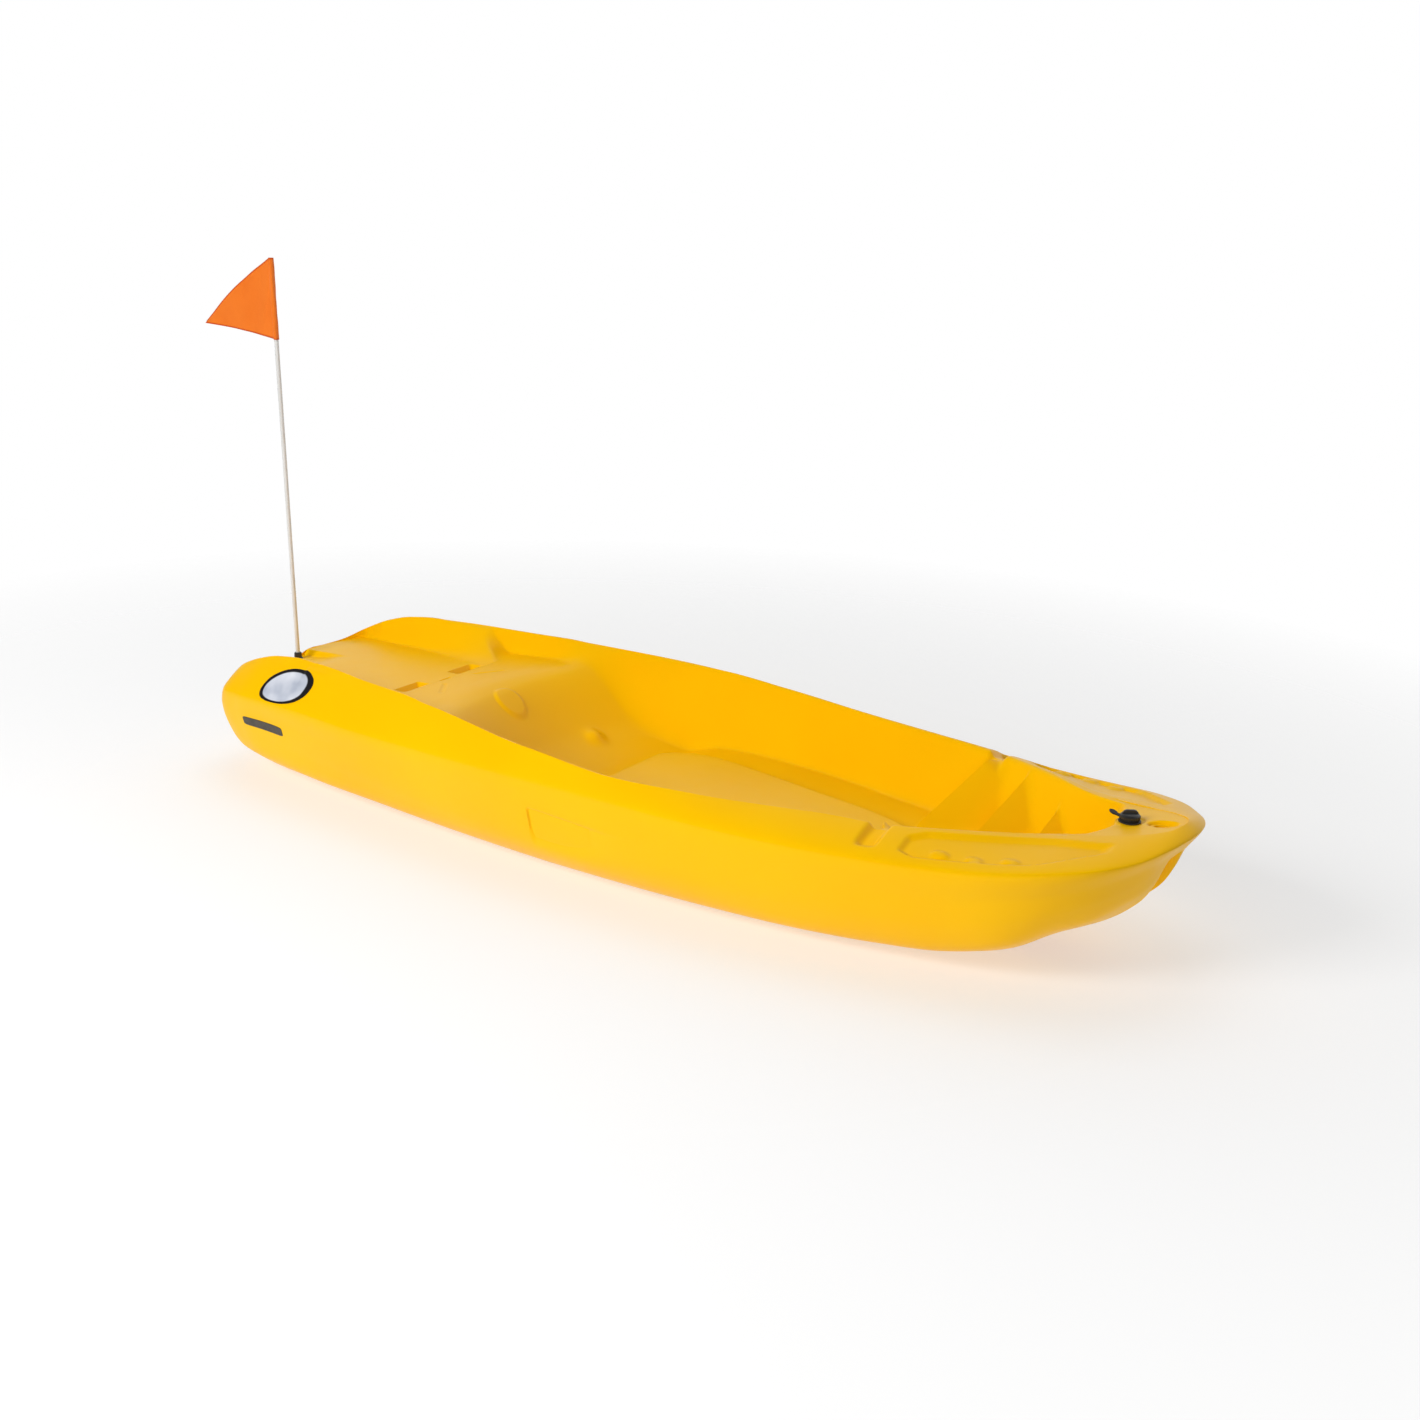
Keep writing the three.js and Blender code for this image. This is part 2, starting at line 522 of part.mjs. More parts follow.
const deckSolid = deckShell
  .add(plugAt(through(PLUG.pad, -5, 0)))
  .subtract(plugAt(through(PLUG.pad, 0, 12)))
  .add(staffAt(through(STAFF.pad, -6, 0)))
  .subtract(staffAt(through(STAFF.pad, 0, 12)))
  .add(solid(towFunnel))
  .subtract(solid(towMouth))
  .subtract(plugAt(through(13, -30, 30)))
  .subtract(staffAt(through(6.9, -30, 30)));
const towClear = through(15.5, TOW_FLOOR - 0.35, TOW_FLOOR + 30, TOW.long).translate(TOW.s, 0, 0);
const hullSolid = hullShell.subtract(solid(towBelow)).subtract(solid(towClear));

// -------------------------------------------------------------- small pieces
const bushing = turned([
  [9.8, -12], [12.7, -12], [12.7, 0.3], [16.6, 0.3], [17, 0.7], [17, 1.9],
  [16.4, 2.5], [9.8, 2.5], [9.8, -12],
]);
const gasket = turned([[9.6, 2.8], [13.6, 2.8], [14, 3.2], [14, 3.8], [13.6, 4.2], [9.6, 4.2], [9.6, 2.8]]);
const plugHead = turned([
  [0, -11], [8.4, -11], [9.3, -10], [9.3, 6.3], [15.2, 6.3], [15.8, 7],
  [15.2, 10], [12.6, 12.6], [8, 13.8], [0, 14.2],
]);
const wing = new THREE.Shape([
  [-13, 9], [13, 9], [12.6, 13], [10.4, 16.4], [6, 18.3], [-6, 18.3], [-10.4, 16.4], [-12.6, 13],
].map(([x, y]) => new THREE.Vector2(x, y)));
const wingBar = new THREE.ExtrudeGeometry(wing, {
  depth: 4.4, bevelEnabled: true, bevelThickness: 0.8, bevelSize: 0.8, bevelSegments: 2, curveSegments: 1,
}).translate(0, 0, -2.2).rotateX(Math.PI / 2).rotateZ(0.6);
const plug = solid(plugHead).add(solid(wingBar));

const ring = turned([[9.7, 4.5], [15.4, 4.5], [15.4, 6], [9.7, 6], [9.7, 4.5]]);
const tab = new THREE.Shape();
tab.moveTo(-12, -4.5);
tab.lineTo(-21, -4);
tab.absarc(-26, 0, 6.5, -0.9, 0.9, true);
tab.lineTo(-21, 4);
tab.lineTo(-12, 4.5);
tab.closePath();
const tabPlate = new THREE.ExtrudeGeometry(tab, { depth: 1.5, bevelEnabled: false, curveSegments: 10 })
  .translate(0, 0, 4.5);
const retainer = solid(ring).add(solid(tabPlate)).subtract(solid(through(9.7, -2, 12)));

const socket = turned([
  [0, -60], [5.6, -60], [6.6, -59], [6.6, 0.4], [8.6, 0.4], [8.8, 1], [8.4, 2], [7.4, 2.6], [7.2, 10.5],
  [6.4, 12.4], [4.35, 12.8], [4.35, -STAFF.depth - 0.3], [0, -STAFF.depth - 0.3],
]);
const staff = turned([
  [0, -STAFF.depth], [3.6, -STAFF.depth], [STAFF.r, -STAFF.depth + 1],
  [STAFF.r, STAFF.length], [0, STAFF.length],
], 20);
// The pennant's sleeve is closed at the top and hangs on the staff's end.
const hoistHigh = STAFF.length + 1.5;
const hoistLow = hoistHigh - PENNANT.hoist;
const sleeve = turned([
  [0, hoistLow], [PENNANT.sleeveR, hoistLow], [PENNANT.sleeveR, hoistHigh], [0, hoistHigh],
]);
const cloth = new THREE.Shape([
  [-3, hoistLow + 0.5], [-3, hoistHigh - 0.5], [-PENNANT.fly + 3, hoistLow + 33],
  [-PENNANT.fly, hoistLow + 28], [-PENNANT.fly + 4, hoistLow + 24],
].map(([x, y]) => new THREE.Vector2(x, y)));
const clothPlate = new THREE.ExtrudeGeometry(cloth, { depth: PENNANT.thick, bevelEnabled: false })
  .translate(0, 0, -PENNANT.thick / 2).rotateX(Math.PI / 2);
const pennant = solid(sleeve).add(solid(clothPlate))
  .subtract(solid(through(PENNANT.boreR, hoistLow - 5, STAFF.length + 0.3)));

// A thin label that follows the side: at(p, q) gives a surface point.
function label(at, rim) {
  const normal = (p, q) => {
    const a = new THREE.Vector3(...at(p - 0.01, q));
    const b = new THREE.Vector3(...at(p + 0.01, q));
    const c = new THREE.Vector3(...at(p, q - 0.01));
    const d = new THREE.Vector3(...at(p, q + 0.01));
    const n = b.sub(a).cross(d.sub(c)).normalize();
    return n.y < 0 ? n.negate() : n;
  };
  const lifted = (p, q, lift, target) => target.set(...at(p, q)).addScaledVector(normal(p, q), lift);
  const face = (lift) => new ParametricGeometry((u, v, target) => {
    const [p, q] = rim(2 * Math.PI * u);
    lifted(p * v, q * v, lift, target);
  }, 20, 2);
  const edge = new ParametricGeometry((u, v, target) => {
    const [p, q] = rim(2 * Math.PI * u);
    lifted(p, q, mix(0.85, 0.35, v), target);
  }, 20, 1);
  const back = face(0.35);
  back.index.array.reverse();
  return mergeGeometries([face(0.85), back, edge]);
}
const badgeOutline = (angle) => [Math.cos(angle), Math.sin(angle)];
const squared = (v) => (Math.abs(v) < 1e-9 ? 0 : Math.sign(v) * Math.abs(v) ** 0.25);
const stripOutline = (angle) => [squared(Math.cos(angle)), squared(Math.sin(angle))];
const BADGE = { r: ribAt(228), across: 0.62, t: 0.56, down: 0.34 };
const STRIP = { r: ribAt(167), across: 0.62, h: 2.36, down: 0.2 };
const badge = label((p, q) => sideDeck(BADGE.r + p * BADGE.across,
  BADGE.t - 0.12 * p + q * BADGE.down), badgeOutline);
const strip = label((p, q) => hullPoint(STRIP.r + p * STRIP.across,
  STRIP.h - 0.02 * p + q * STRIP.down), stripOutline);

const foamStern = new THREE.BoxGeometry(150, 200, 92).translate(265, 0, 111);
const foamSide = new THREE.BoxGeometry(90, 28, 86).translate(1447, 190, 108);

// ------------------------------------------------------------------ the model
const plastic = (color, roughness, metalness = 0) => ({ color, roughness, metalness });
const LOOK = {
  shell: plastic(0xf7b500, 0.34),
  black: plastic(0x1b1b1d, 0.45),
  rubber: plastic(0x151517, 0.8),
  rod: plastic(0xf2f2f0, 0.3),
  cloth: plastic(0xf2661c, 0.85),
  badge: plastic(0xc9ced6, 0.35),
  strip: plastic(0x2b2a28, 0.5),
  foam: plastic(0xf4f4f2, 0.95),
};

const model = new THREE.Group();
function add(name, geometry, look) {
  const shifted = geometry.clone().translate(-MID, 0, 0);
  const mesh = new THREE.Mesh(shifted, new THREE.MeshStandardMaterial(LOOK[look]));
  mesh.name = name;
  model.add(mesh);
}
const clean = (geometry) => geometryOf(solid(geometry));
const mirrored = (geometry) => geometryOf(solid(geometry).mirror([0, 1, 0]));
const atPlug = (geometry) => place(geometry, PLUG.s, PLUG.z);
const atStaff = (geometry) => place(geometry, STAFF.s, STAFF.z, LEAN_ANGLE);

add('deck', geometryOf(deckSolid), 'shell');
add('hull', geometryOf(hullSolid), 'shell');
add('flotation_block_stern', clean(foamStern), 'foam');
add('flotation_block_port', clean(foamSide), 'foam');
add('flotation_block_starboard', mirrored(foamSide), 'foam');
add('drain_bushing', atPlug(clean(bushing)), 'black');
add('drain_gasket', atPlug(clean(gasket)), 'rubber');
add('drain_plug', atPlug(geometryOf(plug)), 'black');
add('plug_retainer', atPlug(geometryOf(retainer)), 'rubber');
add('staff_socket', atStaff(clean(socket)), 'black');
add('staff', atStaff(clean(staff)), 'rod');
add('pennant', atStaff(geometryOf(pennant)), 'cloth');
add('side_badge_port', clean(badge), 'badge');
add('side_badge_starboard', mirrored(badge), 'badge');
add('id_strip', mirrored(strip), 'strip');

export default model;
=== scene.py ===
"""Looks of a youth sit-on-top kayak with a pennant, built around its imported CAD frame.

The hull and deck are rebuilt here as fine meshes from the same shape functions as the CAD
source: stations S in mm from the stern (0) to the bow (1825), half breadths A = |y| and heights
Z. to_row() moves them into the row frame, in metres.
"""

import math

import bpy
import numpy as np
from mathutils import Matrix, Vector


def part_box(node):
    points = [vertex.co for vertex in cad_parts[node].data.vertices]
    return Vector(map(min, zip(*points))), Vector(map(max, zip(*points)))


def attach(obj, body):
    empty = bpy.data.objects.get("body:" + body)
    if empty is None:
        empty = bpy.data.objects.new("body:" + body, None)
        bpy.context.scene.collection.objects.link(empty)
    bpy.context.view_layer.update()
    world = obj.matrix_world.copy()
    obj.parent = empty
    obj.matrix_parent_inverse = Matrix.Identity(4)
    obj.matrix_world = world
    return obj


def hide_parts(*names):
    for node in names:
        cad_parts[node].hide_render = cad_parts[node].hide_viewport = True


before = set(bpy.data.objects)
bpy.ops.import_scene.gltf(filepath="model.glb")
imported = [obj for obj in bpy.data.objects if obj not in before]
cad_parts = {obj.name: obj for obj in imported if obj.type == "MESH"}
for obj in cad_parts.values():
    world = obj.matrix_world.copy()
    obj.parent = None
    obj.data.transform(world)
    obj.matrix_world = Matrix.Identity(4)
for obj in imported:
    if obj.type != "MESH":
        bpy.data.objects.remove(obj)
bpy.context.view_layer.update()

# ---------------------------------------------------------------- dimensions, in mm
BOW = 1825  # station of the bow's nose
MID = BOW - 1000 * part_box("deck")[1].x  # station of the row frame's origin
BEAM = 1000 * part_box("deck")[1].y  # the widest half breadth
WALL = 2.8
SEAM = 0.05  # how far deck and hull each stay off the shoulder line
PLUG_S, PLUG_Z, PLUG_PAD = 1719, 233.6, 20
STAFF_S, STAFF_Z, STAFF_PAD = 41, 171.2, 9.5
SLOPE = 0.0563  # tilt of the stern platform
LEAN = math.atan(SLOPE)  # the staff stands square to the platform
RIM_CURVE = 0.0012  # how the seat back's rim bends forward with half breadth squared
TOW_S, TOW_Z, TOW_LONG, TOW_FLOOR = 1771, 236, 1.5, 199.5
STAFF_LONG = 749.5
HOIST, FLY = 147, 178
NOTCH_S, NOTCH_DEPTH, INNER_NOTCH_DEPTH = 1413, 11, 10  # across the gunwale
RECESS_DEPTH, QUARTER_DEPTH, BUMP_HEIGHT = 6.5, 2.4, 4.2  # on the side deck
PLATEAU_Z = 126  # raised middle of the cockpit's floor
CHANNEL_DEPTH, POCKET_DEPTH, SLIT_DEPTH, GROOVE_DEPTH = 10, 10, 4, 1.6
DISH_DEPTH, DISH_LONG, DISH_WIDE = 7, 24, 17  # round the tow hole
ROUND = 96  # segments of a turned piece

# Crest of the gunwale, cockpit, decks and tunnel: rows of station and size, or of two sizes.
CREST = [
    [60, 166, 199], [110, 177, 223], [170, 181, 240], [237, 185, 247], [334, 199, 247],
    [410, 215, 247], [510, 230, 247], [598, 247, 243], [681, 264, 238], [761, 279, 234],
    [834, 289, 231], [901, 292, 226], [964, 292, 221], [1022, 285, 219], [1090, 273, 218.5],
    [1165, 259, 217.5], [1237, 243, 219], [1341, 222, 221], [1413, 208, 220], [1483, 180, 221],
    [1549, 148, 222], [1613, 113, 223], [1660, 92, 227], [1700, 78, 232],
]
FOOT = [
    [560, 150], [640, 185], [720, 205], [800, 222], [870, 238], [943, 243], [1022, 237],
    [1131, 221], [1247, 188], [1341, 160], [1440, 128], [1540, 98], [1620, 70], [1700, 50],
]
FLOOR = [
    [600, 88], [690, 88], [790, 88], [860, 103], [943, 105], [1130, 105], [1250, 108],
    [1341, 112], [1450, 118], [1560, 124], [1640, 130], [1700, 136],
]
PLATEAU = [
    [795, 0], [803, 40], [818, 82], [850, 120], [915, 139], [1020, 122], [1142, 97],
    [1269, 69], [1330, 45], [1372, 0],
]
SEAT_BACK = [
    [-75, 0], [-40, 2], [-15, 10], [0, 18], [20, 33], [60, 68], [100, 99], [135, 120],
    [165, 136], [220, 175], [400, 260],
]
REAR_DECK = [[392, 205], [525, 213], [600, 224], [680, 238], [760, 234]]
BOW_DECK = [[1600, 223], [1660, 227], [1700, 231], [1760, 240], [1800, 247], [1830, 252]]
PLATFORM_EDGE = [[40, 170], [83, 166], [243, 149], [412, 122]]
REAR_EDGE = [[392, 196], [500, 204], [560, 190], [620, 170]]
TUNNEL_HALF = [[0, 58], [300, 60], [1000, 60], [1400, 46], [1600, 36], [1740, 33], [1830, 33]]
TUNNEL_CROWN = [
    [0, 60], [400, 60], [1100, 62], [1400, 72], [1520, 86], [1613, 103], [1680, 128],
    [1740, 168], [1780, 200], [1800, 212], [1830, 214],
]
RIBS = [
    [[29, 0, 169], [10, 0, 148], [4, 0, 120], [10, 0, 86],
      [26, 0, 54], [42, 0, 38], [54, 0, 32], [62, 0, 30]],
    [[29, 40, 180], [10, 50, 150], [3, 50, 120], [9, 50, 86],
      [24, 50, 53], [41, 45, 36], [57, 35, 30], [67, 0, 29]],
    [[31, 85, 180], [11, 100, 151], [3, 100, 122], [9, 98, 88],
      [25, 95, 52], [45, 85, 33], [68, 55, 28], [80, 0, 27]],
    [[40, 130, 184], [19, 152, 154], [10, 150, 124], [15, 146, 89],
      [31, 138, 51], [55, 122, 31], [90, 66, 25], [100, 0, 25]],
    [[60, 166, 199], [44, 198, 160], [34, 193, 128], [39, 184, 89],
      [56, 170, 50], [84, 148, 27], [125, 70, 21], [130, 0, 21]],
    [[110, 177, 223], [100, 221, 165], [93, 214, 130], [97, 203, 90],
      [109, 187, 48], [127, 162, 25], [161, 72, 18], [166, 0, 18]],
    [[180, 181.5, 241], [176, 237, 170], [176, 228, 134], [178, 215, 90],
      [184, 197, 44], [192, 170, 22], [210, 74, 15], [212, 0, 15]],
    [[280, 191, 247.5], [278, 252, 174], [278, 242, 132], [278, 226, 84],
      [280, 206, 37], [284, 172, 18], [290, 74, 12], [290, 0, 12]],
    [[410, 215, 247], [410, 270, 174], [410, 260, 130], [410, 242, 78],
      [410, 219, 35], [410, 178, 14], [410, 75, 9], [410, 0, 9]],
    [[598, 247, 243], [598, 290, 178], [598, 280, 128], [598, 260, 70],
      [598, 233, 31], [598, 188, 6], [598, 75, 4], [598, 0, 4]],
    [[800, 285, 232], [800, 308, 182], [800, 297, 126], [800, 276, 66],
      [800, 243, 29], [800, 193, 0], [800, 75, 0], [800, 0, 0]],
    [[964, 292, 221], [964, 311, 183], [964, 300, 126], [964, 278, 66],
      [964, 244, 27], [964, 192, 0], [964, 74, 0], [964, 0, 0]],
    [[1132, 265, 218], [1132, 307, 183], [1132, 295, 126], [1132, 273, 68],
      [1132, 240, 27], [1132, 188, 3], [1132, 70, 2], [1132, 0, 2]],
    [[1290, 232, 220], [1290, 294, 183], [1290, 281, 128], [1290, 259, 73],
      [1290, 229, 29], [1290, 182, 8], [1290, 62, 5], [1290, 0, 5]],
    [[1413, 208, 220], [1413, 277, 185], [1413, 263, 130], [1413, 242, 76],
      [1413, 211, 33], [1413, 172, 15], [1413, 52, 9], [1413, 0, 9]],
    [[1520, 163, 222], [1520, 259, 190], [1520, 244, 136], [1520, 224, 84],
      [1520, 196, 43], [1520, 160, 27], [1520, 44, 20], [1520, 0, 20]],
    [[1613, 113, 223], [1613, 239, 199], [1613, 223, 150], [1613, 207, 106],
      [1613, 184, 70], [1613, 150, 54], [1613, 38, 40], [1613, 0, 40]],
    [[1680, 90, 230], [1690, 210, 209], [1684, 193, 166], [1680, 177, 130],
      [1675, 154, 100], [1670, 122, 84], [1664, 36, 60], [1662, 0, 60]],
    [[1730, 72, 236], [1743, 175, 216], [1732, 159, 180], [1726, 144, 148],
      [1720, 122, 117], [1714, 92, 101], [1706, 34, 82], [1704, 0, 82]],
    [[1768, 56, 242], [1782, 128, 222], [1768, 118, 194], [1761, 104, 166],
      [1754, 88, 140], [1748, 66, 125], [1741, 33, 107], [1739, 0, 107]],
    [[1793, 36, 247], [1805, 85, 230], [1790, 80, 204], [1783, 70, 182],
      [1777, 58, 160], [1772, 46, 147], [1766, 32, 132], [1764, 0, 132]],
    [[1802, 18, 250], [1819, 43, 236], [1803, 40, 214], [1795, 36, 198],
      [1790, 34, 184], [1786, 33, 172], [1781, 31, 160], [1780, 0, 160]],
    [[1805, 0, 251], [1825, 0, 239], [1810, 0, 216], [1802, 0, 203],
      [1797, 0, 190], [1793, 0, 180], [1788, 0, 170], [1787, 0, 168]],
]
BRACES = [  # start station, height and half breadth, then run, rise and fall per mm
    (1347, 127, 60, 0.48, 0.736, 0.55),
    (1451, 136, 55, 0.30, 0.66, 0.60),
    (1545, 140, 40, 0.20, 0.60, 0.60),
]
PARK_BUMPS = [(1521, 225), (1571, 217), (1620, 199)]  # on the lower edge of the paddle recess


# ---------------------------------------------------------------- small functions
def mix(a, b, t):
    return a + (b - a) * t


def step(lo, hi, x):
    t = np.clip((x - lo) / (hi - lo), 0, 1)
    return t * t * (3 - 2 * t)


def round_max(a, b, k):
    return np.maximum(a, b) + np.maximum(k - np.abs(a - b), 0) ** 2 / (4 * k)


def round_min(a, b, k):
    return -round_max(-a, -b, k)


def hermite(p, q, m, n, h, t):
    rising = t * t * (3 - 2 * t)
    return (1 - rising) * p + rising * q + t * (1 - t) ** 2 * h * m + t * t * (t - 1) * h * n


def curve(rows, column=1):
    """Smooth curve through a table that never overshoots it."""
    x = np.array([row[0] for row in rows], float)
    y = np.array([row[column] for row in rows], float)
    gap = np.diff(x)
    slope = np.diff(y) / gap
    m = np.zeros(len(x))
    m[0], m[-1] = slope[0], slope[-1]
    for i in range(1, len(x) - 1):
        if slope[i - 1] * slope[i] > 0:
            before, after = 2 * gap[i] + gap[i - 1], gap[i] + 2 * gap[i - 1]
            m[i] = (before + after) / (before / slope[i - 1] + after / slope[i])

    def at(value):
        v = np.clip(value, x[0], x[-1])
        i = np.clip(np.searchsorted(x, v, side="right") - 1, 0, len(x) - 2)
        h = x[i + 1] - x[i]
        return hermite(y[i], y[i + 1], m[i], m[i + 1], h, (v - x[i]) / h)

    return at


crest_a, crest_z = curve(CREST, 1), curve(CREST, 2)
foot_a, floor_z, plateau_a = curve(FOOT), curve(FLOOR), curve(PLATEAU)
seat_drop, rear_z, bow_z = curve(SEAT_BACK), curve(REAR_DECK), curve(BOW_DECK)
platform_a, rear_a = curve(PLATFORM_EDGE), curve(REAR_EDGE)
tunnel_a, crown_z = curve(TUNNEL_HALF), curve(TUNNEL_CROWN)
column_lean = curve([[1290, 0], [1425, 0.48], [1490, 0.3], [1566, 0.2], [1645, 0.04], [1700, 0]])
rim_lean = curve([[430, 0], [563, 1], [680, 1], [755, 0]])


# ---------------------------------------------------------------- height of the deck's top
def platform_height(s, a):
    """Stern platform: a tilted plane with a shallow channel and two pockets."""
    plane = 180 + (s - 35) * SLOPE
    z = plane - CHANNEL_DEPTH * (1 - step(26, 38, a)) * (1 - step(60, 150, s))
    pocket = (1 - step(0, 6, np.abs(a - 74) - 28)) * (1 - step(0, 4, np.abs(s - 390) - 9))
    z = z - POCKET_DEPTH * pocket
    slit = (1 - step(0, 2, a - 13)) * (1 - step(0, 2, np.abs(s - 408) - 1.5))
    z = z - SLIT_DEPTH * slit
    run = np.maximum(crest_a(s) - 4 - platform_a(s), 8)
    wall = plane + (crest_z(s) - plane) * (a - platform_a(s)) / run
    return round_min(round_max(z, wall, 14), crest_z(s), 6)


def rear_height(s, a):
    """Deck behind the seat, with the fine groove that runs across it."""
    z = rear_z(s)
    groove = 1 - step(2, 6, np.abs(s - (414 + 0.64 * a)) / 1.19)
    z = z - GROOVE_DEPTH * groove * (1 - step(84, 96, a)) * step(34, 46, a)
    run = np.maximum(crest_a(s) - 4 - rear_a(s), 8)
    wall = z + (crest_z(s) - z) * (a - rear_a(s)) / run
    return round_min(round_max(z, wall, 12), crest_z(s), 6)


def well_height(s, a):
    """Cockpit: floor, raised middle, side walls, seat back, foot braces and bow wall."""
    raised = (1 - step(-14, 14, a - plateau_a(s))) * step(800, 826, s) * (1 - step(1330, 1375, s))
    floor = floor_z(s) + (PLATEAU_Z - floor_z(s)) * raised
    run = np.maximum(crest_a(s) - 5 - foot_a(s), 12)
    wall = floor_z(s) + (crest_z(s) - floor_z(s)) * (a - foot_a(s)) / run
    z = round_max(floor, wall, 26)
    rim = 543 + RIM_CURVE * a * a
    back = rear_z(rim) - seat_drop(s - rim)
    back = back + 4.5 * (1 - step(24, 31, np.hypot(s - 557, a)))
    z = round_max(z, back, 46)
    z = z + 11 * np.exp(-((np.hypot(s - 668, a - 108) / 15) ** 2))
    for start, height, out, run, rise, fall in BRACES:
        crest = start + (a - out) * run
        rib = height + (a - out) * rise
        rib = rib - np.where(s > crest, (s - crest) * fall, (crest - s) * 4.5)
        rib = np.where(a < out, rib - (out - a) * 0.55, rib)
        z = round_max(z, rib, 16)
    front = bow_z(s) - (1703 - 0.004 * a * a - s) * 1.9
    return round_max(z, front, 24)


def deck_top(s, y):
    a = np.abs(y)
    outer = step(120, 190, a)
    behind = step(414 - 56 * outer, 421, s + 12 * outer)
    rear = rear_height(s, a)
    z = np.where(s < 560, mix(platform_height(s, a), rear, behind), rear)
    z = np.where(s < 680, z, mix(crest_z(s), bow_z(s), step(1600, 1690, s)))
    blend = np.where(s < 700, 16 * step(460, 530, s) + 0.01, 9.0)
    z = np.where(s >= 460, round_min(z, well_height(s, a), blend), z)
    z = z - DISH_DEPTH * (1 - step(0.75, 1.05, np.hypot((s - TOW_S) / DISH_LONG, a / DISH_WIDE)))
    z = mix(z, PLUG_Z, 1 - step(PLUG_PAD, PLUG_PAD + 5, np.hypot(s - PLUG_S, a)))
    seat = STAFF_Z + (s - STAFF_S) * SLOPE
    return mix(z, seat, 1 - step(STAFF_PAD, STAFF_PAD + 4, np.hypot(s - STAFF_S, a)))


def deck_thickness(s, y):
    ds = (deck_top(s + 3, y) - deck_top(s - 3, y)) / 6
    dy = (deck_top(s, y + 3) - deck_top(s, y - 3)) / 6
    return np.clip(WALL * np.sqrt(1 + ds * ds + dy * dy), 3.8, 13)


# ---------------------------------------------------------------- the outside's net
NET = np.array(RIBS, float)  # rib, level, (station, half breadth, height)
LAST = len(NET) - 1
SPAN = np.linalg.norm(np.diff(NET[:, 1], axis=0), axis=1)


def rib_slopes():
    """How the net changes along the boat at each rib."""
    chord = np.diff(NET, axis=0) / SPAN[:, None, None]
    slope = np.zeros_like(NET)
    weight = (SPAN[:-1] + SPAN[1:])[:, None, None]
    slope[1:-1] = (chord[:-1] * SPAN[1:, None, None] + chord[1:] * SPAN[:-1, None, None]) / weight
    for end, inner in ((0, 0), (LAST, LAST - 1)):
        slope[end, :, 1] = chord[inner, :, 1]
    return slope


NET_SLOPE = rib_slopes()


def net(level, r):
    """Points of one level at rib numbers r, as an (n, 3) array."""
    i = np.clip(np.floor(r).astype(int), 0, LAST - 1)
    t = (r - i)[:, None]
    h = SPAN[i][:, None]
    return hermite(NET[i, level], NET[i + 1, level], NET_SLOPE[i, level], NET_SLOPE[i + 1, level], h, t)


def inward(r):
    """Unit vectors square to the shoulder line, into the boat."""
    p, q = net(1, np.maximum(r - 0.04, 0)), net(1, np.minimum(r + 0.04, LAST))
    d = q - p
    length = np.hypot(d[:, 0], d[:, 1])
    n = np.stack([d[:, 1] / length, -d[:, 0] / length], axis=1)
    n[r < 1e-6] = (1, 0)
    n[r > LAST - 1e-6] = (-1, 0)
    return n


def park_bumps(s, a):
    """Small lugs on the lower edge of the paddle recess."""
    bumps = 0
    for station, half in PARK_BUMPS:
        far = np.hypot((s - station) / 15, (a - half) / 9)
        bumps = bumps + (1 - step(0.55, 1.15, far))
    return bumps


def side_deck(r, t):
    """Side deck from the crest (t = 0) to the shoulder (t = 1)."""
    p, q, below = net(0, r), net(1, r), net(2, r)
    d = q - p
    flat = np.hypot(d[:, 0], d[:, 1])
    steep = np.abs(d[:, 2]) / (flat + np.abs(d[:, 2]))
    m = np.stack([d[:, 0], d[:, 1], d[:, 2] * np.clip(1.25 * steep, 0.2, 0.9)], axis=1)
    point = hermite(p, q, m, 0.45 * (below - q) + 0.175 * d, 1, t)
    s = point[:, 0]
    # The recess ends in a half round aft and runs out to a point forward.
    low_edge = 0.66 - 0.1 * (1 - step(1462, 1490, s)) - 0.22 * step(1640, 1742, s)
    high_edge = 0.15 + 0.1 * (1 - step(1462, 1490, s)) + 0.12 * step(1640, 1742, s)
    recess = step(1460, 1469, s) * (1 - step(1722, 1742, s))
    recess = recess * step(high_edge - 0.025, high_edge + 0.025, t)
    recess = recess * (1 - step(low_edge - 0.025, low_edge + 0.025, t))
    notch = (1 - step(8, 19, np.abs(s - NOTCH_S))) * (1 - step(0.42, 0.62, t))
    quarter = step(255, 262, s) * (1 - step(262, 345, s)) * (1 - step(0.5, 0.62, t)) * step(0.08, 0.2, t)
    drop = RECESS_DEPTH * recess + NOTCH_DEPTH * notch - QUARTER_DEPTH * quarter
    point[:, 2] -= drop - BUMP_HEIGHT * park_bumps(s, point[:, 1])
    return point


# ---------------------------------------------------------------- the hull's skin
BOTTOM_SPLIT = (0.93, 0.72, 0.4)  # where the keel's rows lie, as shares of the breadth


